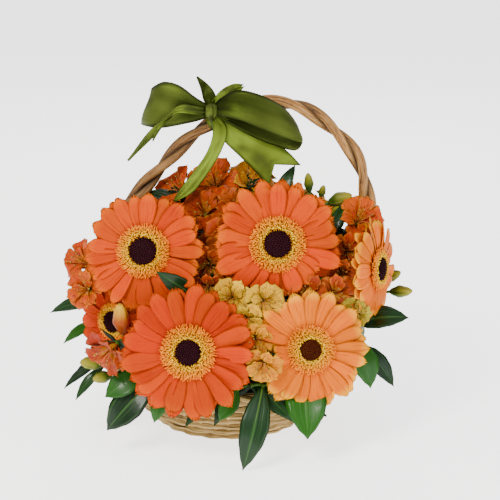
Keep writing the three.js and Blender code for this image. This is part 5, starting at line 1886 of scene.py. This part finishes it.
@dataclass
class NestOfLeaves:
    """Short, dark foliage that is tucked between the stems, so that no gap shows the foam."""

    scatter: Scatter
    centre: Triple = (2, 4, 64)
    reach: Triple = (84, 68, 108)
    count: int = 230
    length: float = 46.0
    width: float = 15.0
    thickness: float = 0.6
    rows: int = 8
    seed: int = 640
    outline = ((0, 0.12), (0.15, 0.55), (0.4, 1.0), (0.7, 0.78), (0.9, 0.34), (1, 0.04))
    styles = ((4.0, 0.3), (8.0, 0.2), (2.0, 0.45))
    # Each single leaf's place, its turn in radians, and how far its face looks up.
    single_leaves = (
        (12, -92, 61, 2.2, 0.4), (28, -92, 56, -2.4, 0.4), (0, -100, 52, 2.7, 0.4),
        (44, -92, 50, -2.0, 0.4), (18, -86, 70, 0.6, 0.4), (-16, -98, 52, 2.5, 0.4),
        (90, -22, 176, -0.5, 0.7), (101, -24, 158, 1.0, 0.7), (-40, -2, 186, 0.4, 0.9),
        (-50, 2, 188, 1.2, 0.9), (6, 4, 196, -1.0, 0.9), (100, -34, 116, 1.4, 0.4),
        (-110, -24, 118, 1.3, 0.4),
    )

    def leaf(self, bow: float, fold: float) -> MeshDraft:
        """Makes one pattern leaf along +Y with its face up.

        Args:
            bow: How far the middle rises, in millimetres.
            fold: How far the two halves fold up along the midrib.

        Returns:
            The leaf's draft.
        """
        rows = []
        for t in spread(self.rows):
            reach = profile_at(self.outline, t) * self.width / 2
            y, rise = self.length * t, bow * math.sin(math.pi * t)
            rows.append([Vector((u * reach, y, rise + fold * reach * abs(u))) for u in (-1, -0.5, 0, 0.5, 1)])
        draft = MeshDraft()
        draft.blade(rows, self.thickness, 0)
        return draft

    def build(self, finish: Material) -> Piece:
        """Lays leaves over a dome under the flowers. Each has a thin stalk down into the foam.

        Args:
            finish: The leaves' finish.

        Returns:
            The piece.
        """
        draw = random.Random(self.seed)
        stalk = MeshDraft()
        stalk.tube([Vector((0, 0, z)) for z in (0, 0.5, 1)], [0.9, 0.8, 0.9], 5, 0)
        patterns = [self.leaf(*style) for style in self.styles] + [stalk]
        centre = Vector(self.centre)
        roots = []
        for i in range(self.count):
            rise = 0.97 - 1.1 * (i + 0.5) / self.count
            angle = i * GOLDEN_ANGLE
            flat = math.sqrt(1 - rise * rise)
            out = Vector((flat * math.cos(angle), flat * math.sin(angle), rise))
            at = centre + Vector([a * b for a, b in zip(out, self.reach)])
            loose = min(max(out.y + 0.35, 0), 0.8)
            roots.append((at, out, draw.uniform(-2.4, 2.4), draw.uniform(0.05, 0.5 + loose)))
        for x, y, z, turn, up in self.single_leaves:
            roots.append((Vector((x, y, z)), Vector((0, -0.9, up)), turn, 0.15))
        spots = []
        for at, facing, turn, lift in roots:
            wide = draw.uniform(0.75, 1.3)
            shift = Matrix.Rotation(turn, 4, "Z") @ Matrix.Translation((0, -self.length * 0.4, 0))
            place = placed(at, facing) @ shift @ Matrix.Rotation(lift, 4, "X")
            spots.append(Spot(place, (wide, wide, 1.0), draw.randrange(3), draw.uniform(0, 0.6)))
            out = (at - centre).normalized()
            down = Vector((out.x * 48, out.y * 48, 62 + 8 * max(out.z, 0))) - place.translation
            spots.append(Spot(placed(place.translation, down), (1.0, 1.0, down.length), 3, 0.3))
        return self.scatter.piece("nest_of_leaves", patterns, finish, spots)


# The second finish is a dark shell of painted shade inside the weave.
STRAW, INNER_SHADE = range(2)


@dataclass
class Basket:
    """The woven basket: hoops round upright stakes, a plaited floor, a twisted border and a handle."""

    strands: TwistedStrands
    hoops: WovenHoops
    base_radius: float = 55.0
    mouth_radius: float = 96.0
    height: float = 42.0
    rows: int = 6
    stakes: int = 40
    floor_ribs: int = 20
    strand_height: float = 7.2
    strand_thickness: float = 1.7
    border_radius: float = 94.0
    border_height: float = 47.7
    border_points: int = 240
    border_turns: int = 12
    handle_height: float = 275.0
    handle_pitch: float = 86.0
    handle_points: int = 260
    handle_foot_radius: float = 7.0
    handle_top_radius: float = 5.2

    def wall_radius(self, z: float) -> float:
        """Returns the wall's middle radius at a height."""
        share = min(max(z / self.height, 0), 1)
        return self.base_radius + (self.mouth_radius - self.base_radius) * share**0.85

    def route(self, name: str, points: Sequence[Vector], thick: Sequence[float], closed: bool) -> Piece:
        """Makes a curve object for strands to follow.

        Args:
            name: The object's name.
            points: The curve's points, in millimetres.
            thick: How far the strands spread at each point, against their usual offset.
            closed: Whether the last point joins the first.

        Returns:
            The curve object, in metres.
        """
        data = bpy.data.curves.new(name, "CURVE")
        data.dimensions = "3D"
        line = data.splines.new("POLY")
        line.points.add(len(points) - 1)
        for point, place, radius in zip(line.points, points, thick):
            point.co = (*(place * MM), 1)
            point.radius = radius
        line.use_cyclic_u = closed
        return show(name, data)

    def wall(self, fibre: Material) -> Piece:
        """Weaves the hoops of the wall.

        Args:
            fibre: Their finish.

        Returns:
            The piece.
        """
        seed = bpy.data.meshes.new("basket_weave")
        seed.from_pydata([(0, 0, 0)], [], [])
        sizes = {
            "Rows": self.rows,
            "Stakes": self.stakes,
            "Base Radius": (self.base_radius - 0.6) * MM,
            "Mouth Radius": (self.mouth_radius - 2.2) * MM,
            "Wall Height": self.height * MM,
            "Swing": 1.0 * MM,
            "Strand Height": self.strand_height * MM,
            "Strand Thickness": self.strand_thickness * MM,
            "Slope": -math.atan2(self.mouth_radius - self.base_radius, self.height),
            "Finish": fibre,
        }
        return self.hoops.run(show("basket_weave", seed), sizes)

    def slat(self, draft: MeshDraft, angle: float, line: Sequence[tuple], half: float, tone: float) -> None:
        """Adds one flat slat that runs in the upright plane at an angle.

        Args:
            draft: The draft to add it to.
            angle: The plane's direction, in radians.
            line: (distance from the axis, height, bulge) along the slat's middle.
            half: Half the slat's width, in millimetres.
            tone: Its tone, from 0 to 1.
        """
        out = Vector((math.cos(angle), math.sin(angle), 0))
        across = Vector((-math.sin(angle), math.cos(angle), 0)) * half
        rows = []
        for reach, height, bulge in line:
            middle = out * reach + UP * height
            rows.append([middle - across, middle + out * bulge, middle + across])
        draft.blade(rows, 1.0, STRAW, tone)

    def frame_work(self, straw: Material, inner_shade: Material) -> Piece:
        """Builds the stakes, the floor's plaited ribs and a dark shell of painted shade inside the weave.

        Args:
            straw: The finish of stakes and ribs.
            inner_shade: The inner side's finish.

        Returns:
            The piece.
        """
        draft = MeshDraft()
        heights = [1.2 + (self.height - 1.6) * j / 8 for j in range(9)]
        stake = [(self.wall_radius(z) - 2.0, z, 0.3) for z in heights]
        for k in range(self.stakes):
            self.slat(draft, k / self.stakes * math.tau, stake, 2.2, (k * 0.37) % 1)
        # Painted shade: a dark shell just inside the weave darkens what shows through its gaps.
        inner = [2.4 + (self.height - 3.4) * j / 8 for j in range(9)]
        upper = [3.2 + (self.height - 4.4) * j / 8 for j in range(8, -1, -1)]
        shell = [(0, 1.6), (self.base_radius - 3, 1.6)]
        shell += [(self.wall_radius(z) - 3.6, z) for z in inner]
        shell += [(self.wall_radius(z) - 4.6, z) for z in upper]
        draft.lathe([*shell, (0, 2.6)], 80, INNER_SHADE)
        for k in range(self.floor_ribs):
            height, reach = 0.7 + 0.25 * (k % 2), self.base_radius - 1
            rib = [(-reach, height, 0), (0, height, 0), (reach, height, 0)]
            self.slat(draft, k / self.floor_ribs * math.pi, rib, 3.0, (k * 0.61) % 1)
        return draft.piece("basket_stakes", [straw, inner_shade])

    def border(self, fibre: Material) -> Piece:
        """Twists the border strand that finishes the mouth.

        Args:
            fibre: Its finish.

        Returns:
            The piece.
        """
        count = self.border_points
        angles = [i / count * math.tau for i in range(count)]
        flat = [Vector((math.cos(a), math.sin(a), 0)) * self.border_radius for a in angles]
        points = [place + UP * self.border_height for place in flat]
        sizes = {
            "Strands": 3,
            "Steps": 420,
            "Pitch": math.tau * self.border_radius / self.border_turns * MM,
            "Offset": 2.6 * MM,
            "Strand Radius": 2.9 * MM,
            "Flatness": 0.85,
            "Finish": fibre,
        }
        return self.strands.run(self.route("basket_border_twist", points, [1.0] * count, True), sizes)

    def handle(self, fibre: Material) -> Piece:
        """Twists the handle's strands along its arch. It is thicker at the feet than at the top.

        Args:
            fibre: Its finish.

        Returns:
            The piece.
        """
        points = spline([Vector(p) for p in HANDLE_ROUTE], self.handle_points)
        taper = self.handle_top_radius / self.handle_foot_radius - 1
        thick = [1.0 + taper * (place.z / self.handle_height) ** 2 for place in points]
        sizes = {
            "Strands": 2,
            "Steps": 300,
            "Pitch": self.handle_pitch * MM,
            "Offset": 3.7 * MM,
            "Strand Radius": 4.2 * MM,
            "Flatness": 0.9,
            "Finish": fibre,
        }
        return self.strands.run(self.route("basket_handle_twist", points, thick, False), sizes)


@dataclass
class RibbonBow:
    """The bow: one satin ribbon, wrapped round the handle, knotted, with two loops and five tails."""

    cut_width: float = 40.0
    thickness: float = 0.5
    columns: int = 9
    band_centre: Triple = (-11, 0, 260.6)
    band_axis: Triple = (0.85, 0, 0.53)
    band_half: float = 4.34
    band_radius: float = 8.0
    knot_centre: Triple = (-14, -10.5, 270)
    knot_half: float = 5.2
    knot_turns = ((0.0, 6.6), (0.5, 6.0), (-0.45, 5.6))

    def __post_init__(self) -> None:
        """Starts the bow's draft, and the sums of its lengths and flat areas in millimetres."""
        self.draft = MeshDraft()
        self.length = self.area = 0.0

    def strip(self, stations: Sequence[tuple], notch: float, tone: float, seed: int) -> None:
        """Adds one length of ribbon.

        Args:
            stations: (x, y, z, half width x, y, z) along its centre line.
            notch: How deep the end is cut in a V, in millimetres.
            tone: Its painted light, from shaded 0 to lit 1.
            seed: Varies the folds.
        """
        phase = random.Random(seed).uniform(0, math.tau)
        count = 8 * (len(stations) - 1) + 1
        middles = spline([Vector(s[:3]) for s in stations], count)
        halves = spline([Vector(s[3:]) for s in stations], count)
        rows = []
        for j, (middle, half) in enumerate(zip(middles, halves)):
            t = j / (count - 1)
            ahead = middles[min(j + 1, count - 1)] - middles[max(j - 1, 0)]
            normal = ahead.cross(half).normalized()
            gather = max(0.0, 1 - half.length / 12)
            rows.append([])
            for u in spread(self.columns, -1):
                crease = gather * 1.5 * math.cos(u * math.pi * 2.5 + phase)
                roll = 1.0 * math.sin(phase + t * 12 + u * 2.6) * (1 - gather)
                cut = -notch * (1 - abs(u)) * max(0.0, 2 * t - 1) ** 2
                place = middle + half * u + normal * (crease + roll)
                rows[-1].append(place + ahead.normalized() * cut)
        self.draft.blade(rows, self.thickness, 0, tone)
        steps = [(a - b).length for a, b in zip(middles, middles[1:])]
        self.length += sum(steps)
        self.area += sum(step * half.length * 2 for step, half in zip(steps, halves))

    def turn(
        self, place: Matrix, radius: float, half: float, tone: float, folds: Triple, form: Triple
    ) -> None:
        """Adds one turn of ribbon round the X axis of a place.

        Args:
            place: The turn's own millimetres to the part's.
            radius: The turn's radius.
            half: Half the gathered ribbon's width.
            tone: Its painted light, from shaded 0 to lit 1.
            folds: The folds' depth, how fast they follow each other, and where they start.
            form: How far its edges sink, how far it leans along the axis, and how many rows it has.
        """
        depth, pace, first = folds
        sink, lean, count = form
        rows = []
        for t in spread(count):
            angle = t * math.tau
            rows.append([])
            for u in spread(self.columns, -1):
                r = radius - sink * u * u + depth * math.cos(u * pace + first)
                spot = Vector((u * half + lean * math.cos(angle), r * math.cos(angle), r * math.sin(angle)))
                rows[-1].append(place @ spot)
        self.draft.blade(rows, self.thickness, 0, tone)
        self.length += math.tau * radius
        self.area += math.tau * radius * half * 2

    def build(self, satin: Material) -> Piece:
        """Builds the bow: its loops and tails, two turns round the handle, and three at the knot.

        Args:
            satin: Its finish.

        Returns:
            The piece.
        """
        for i, (notch, tone, stations) in enumerate(BOW_STRIPS):
            self.strip(stations, notch, tone, 900 + i)
        axis = Vector(self.band_axis).normalized()
        side = UP.cross(axis).normalized()
        band = Matrix((axis, side, axis.cross(side))).transposed().to_4x4()
        band.translation = Vector(self.band_centre)
        # The turns' tones are painted light: each turn is drawn a little lighter than the one before.
        for k, lean in enumerate((-2, 2)):
            folds, form = (0.45, 8, 2 * k), (0, lean, 33)
            self.turn(band, self.band_radius + 0.5 * k, self.band_half, 0.4 + 0.2 * k, folds, form)
        for k, (tilt, bulge) in enumerate(self.knot_turns):
            place = Matrix.Translation(self.knot_centre) @ Matrix.Rotation(tilt, 4, "Y")
            self.turn(place, bulge, self.knot_half, 0.3 + 0.2 * k, (0.5, 7, k), (2.2, 0, 25))
        return self.draft.piece("satin_bow", [satin])


@dataclass
class Studio:
    """Pale paper floor, soft light from the front and above, and the photograph's viewpoint."""

    target: Triple = (0.0179, 0.0, 0.1483)
    distance: float = 1.5
    elevation: float = math.radians(15.5)
    lens: float = 127.06
    sky_strength: float = 0.62
    floor_width: float = 12.0

    def camera(self) -> None:
        """Makes the camera and sets it as the scene's own."""
        data = bpy.data.cameras.new("viewpoint")
        data.sensor_width = 36.0
        data.lens = self.lens
        data.clip_start = 0.05
        data.clip_end = 20.0
        ahead = Vector((0, math.cos(self.elevation), -math.sin(self.elevation)))
        camera = show("viewpoint", data)
        camera.location = Vector(self.target) - ahead * self.distance
        camera.rotation_euler = ahead.to_track_quat("-Z", "Y").to_euler()
        bpy.context.scene.camera = camera

    def lamp(self, name: str, at: Triple, size: float, power: float, tint: str) -> None:
        """Adds one soft area light that looks at the middle of the flowers.

        Args:
            name: The light's name.
            at: Where it stands, in metres.
            size: How wide it is, in metres.
            power: Its power, in watts.
            tint: Its sRGB colour.
        """
        data = bpy.data.lights.new(name, "AREA")
        data.shape = "DISK"
        data.size = size
        data.energy = power
        data.color = srgb(tint)[:3]
        lamp = show(name, data)
        lamp.location = at
        towards = Vector((0, 0, self.target[2])) - Vector(at)
        lamp.rotation_euler = towards.to_track_quat("-Z", "Y").to_euler()

    def floor(self, paper: Material) -> None:
        """Lays the pale floor.

        Args:
            paper: Its finish.
        """
        mesh = bpy.data.meshes.new("studio_floor")
        half = self.floor_width / 2
        corners = [(-half, -half, 0), (half, -half, 0), (half, half, 0), (-half, half, 0)]
        mesh.from_pydata(corners, [], [(0, 1, 2, 3)])
        mesh.materials.append(paper)
        show("studio_floor", mesh)

    def world(self) -> None:
        """Fills the shadows with an even, nearly white sky."""
        world = bpy.data.worlds.new("studio_sky")
        world.use_nodes = True
        tree = world.node_tree
        tree.nodes.clear()
        sky = add_node(tree, "ShaderNodeBackground", {"Color": srgb("ffffff"), "Strength": self.sky_strength})
        add_node(tree, "ShaderNodeOutputWorld", {"Surface": sky.outputs[0]})
        bpy.context.scene.world = world

    def build(self) -> None:
        """Builds the whole studio."""
        self.camera()
        self.world()
        self.floor(PaperFloorFinish().material())
        self.lamp("key_light", (-0.7, -1.15, 1.35), 0.6, 36.0, "fffaf2")
        self.lamp("fill_light", (1.1, -0.9, 0.7), 1.0, 9.0, "f4f8ff")
        self.lamp("back_light", (0.1, 1.2, 1.1), 0.8, 10.0, "ffffff")


TEPALS = {
    Colourway.ORANGE: ("cc8004", "b84400", "cc6c04"),
    Colourway.GOLD: ("d09a08", "c47804", "e4a814"),
    Colourway.RUST: ("c07c14", "942e00", "ac4a02"),
    Colourway.BRONZE: ("d89c28", "a03c08", "d2701c"),
    Colourway.YELLOW: ("dcb02c", "d8a014", "e6bc34"),
    Colourway.GREEN: ("d8bc50", "9c8c20", "b88c2c"),
}


def main() -> None:
    """Builds the studio and every piece, and reports each one."""
    logging.basicConfig(level=logging.INFO, format="%(name)s: %(message)s")
    Studio().build()
    satin = SatinFinish().material()
    ray = RayPetalFinish().material()
    deep_ray = RayPetalFinish("deep_ray_petal", "861c00", "aa3000", "b64000").material()
    light_ray = RayPetalFinish("light_ray_petal", "b24200", "d06200", "ea9c06").material()
    rays = {3: deep_ray, 6: deep_ray, 4: light_ray, 5: light_ray}
    golden = FloretFinish("trans_floret", "a04a00", "e09400", hue=0.07).material()
    dark = FloretFinish("closed_disc_floret", "120508", "2c0e14", gloss=0.06).material()
    brown = FloretFinish("open_disc_floret", "220a04", "4c200c", gloss=0.06).material()
    cream = FloretFinish("pollen_tip", "a87400", "e4bc24").material()
    stalk = StalkFinish("cut_stem", "3c5a18", "567a24", "264010").material()
    filament = StalkFinish("stamen_filament", "dc9a58", "c05a38", "a04428", 0.2).material()
    pollen = FloretFinish("pollen_sac", "6a4a22", "8a6a34").material()
    bud = StalkFinish("bud_tepal", "982c04", "d89c1c", "7c1c04", 0.6, 0.5).material()
    green_bud = StalkFinish("green_bud_tepal", "2c4a0c", "8c8420", "54401a", 0.6).material()
    leaf = LeafFinish().material()
    straw = FibreFinish("straw_fibre", "ccb078", "a48448", "38240c", runs=14.4).material()
    # The twisted finishes add painted shade in the hollows between strands.
    rim = FibreFinish("twisted_straw_fibre", "ccb078", "a48448", "38240c", 14.4, twisted=True).material()
    # Painted shade: the dark shell inside the weave.
    inner_shade = FibreFinish("inner_straw_fibre", "6a4a24", "4a3014", "24160a").material()
    tan = FibreFinish("twisted_palm_fibre", "b4884e", "8a5e30", "321c0a", darkened_length=0.26, twisted=True).material()

    strands, hoops, scatter = TwistedStrands(), WovenHoops(), Scatter(PlacedCopies())
    basket = Basket(strands, hoops)
    hand_over(basket.wall(straw), "basket", "basket_bowl")
    hand_over(basket.frame_work(straw, inner_shade), "basket", "basket_bowl")
    hand_over(basket.border(rim), "basket", "basket_border")
    hand_over(basket.handle(tan), "handle", "basket_handle")

    ribbon = RibbonBow()
    bow = ribbon.build(satin)
    hand_over(bow, "ribbon", "ribbon_bow")
    LOG.info("ribbon: length %.0f mm, flat area %.0f square mm", ribbon.length, ribbon.area)

    plants = SPRAYS + LEAFY_STEMS
    stems = StemPlan(GERBERA_HEADS, plants)
    for head in GERBERA_HEADS:
        flower = Gerbera(head, stems, scatter)
        petals, eye = rays.get(head.number, ray), brown if head.number == 4 else dark
        hand_over(flower.petals(petals), "gerbera_petals", f"{flower.name}_petals")
        hand_over(flower.ring(golden), "gerbera_ring", f"{flower.name}_ring")
        hand_over(flower.eye(eye), "gerbera_eye", f"{flower.name}_eye")
        hand_over(flower.pollen(cream), "gerbera_ring")
        hand_over(flower.stem(stalk), "gerbera_stem", f"{flower.name}_stem")
    tepals = {}
    for colourway, (throat, middle, edge) in TEPALS.items():
        outer = TepalFinish(f"{colourway.value}_outer_tepal", middle, middle, edge, dashes=0.6)
        inner = TepalFinish(f"{colourway.value}_inner_tepal", throat, middle, edge)
        tepals[colourway] = [outer.material(), inner.material()]
    for plant in SPRAYS:
        closed = green_bud if plant.colourway is Colourway.GREEN else bud
        finishes = tepals[plant.colourway] + [stalk, filament, pollen, closed, leaf]
        spray = FlowerSpray(plant, stems).build(finishes)
        hand_over(spray, plant.colourway.slot, plant.name)
    for plant in LEAFY_STEMS:
        hand_over(LeafyStem(plant, stems).build([leaf, stalk]), "leaf", plant.name)
    hand_over(NestOfLeaves(scatter).build(leaf), "leaf")

    for name, finish in (("floral_foam", FoamFinish()), ("liner_bowl", LinerFinish())):
        node = frame["nodes"][name]
        node.data.materials.clear()
        node.data.materials.append(finish.material())


if __name__ == "__main__":
    main()
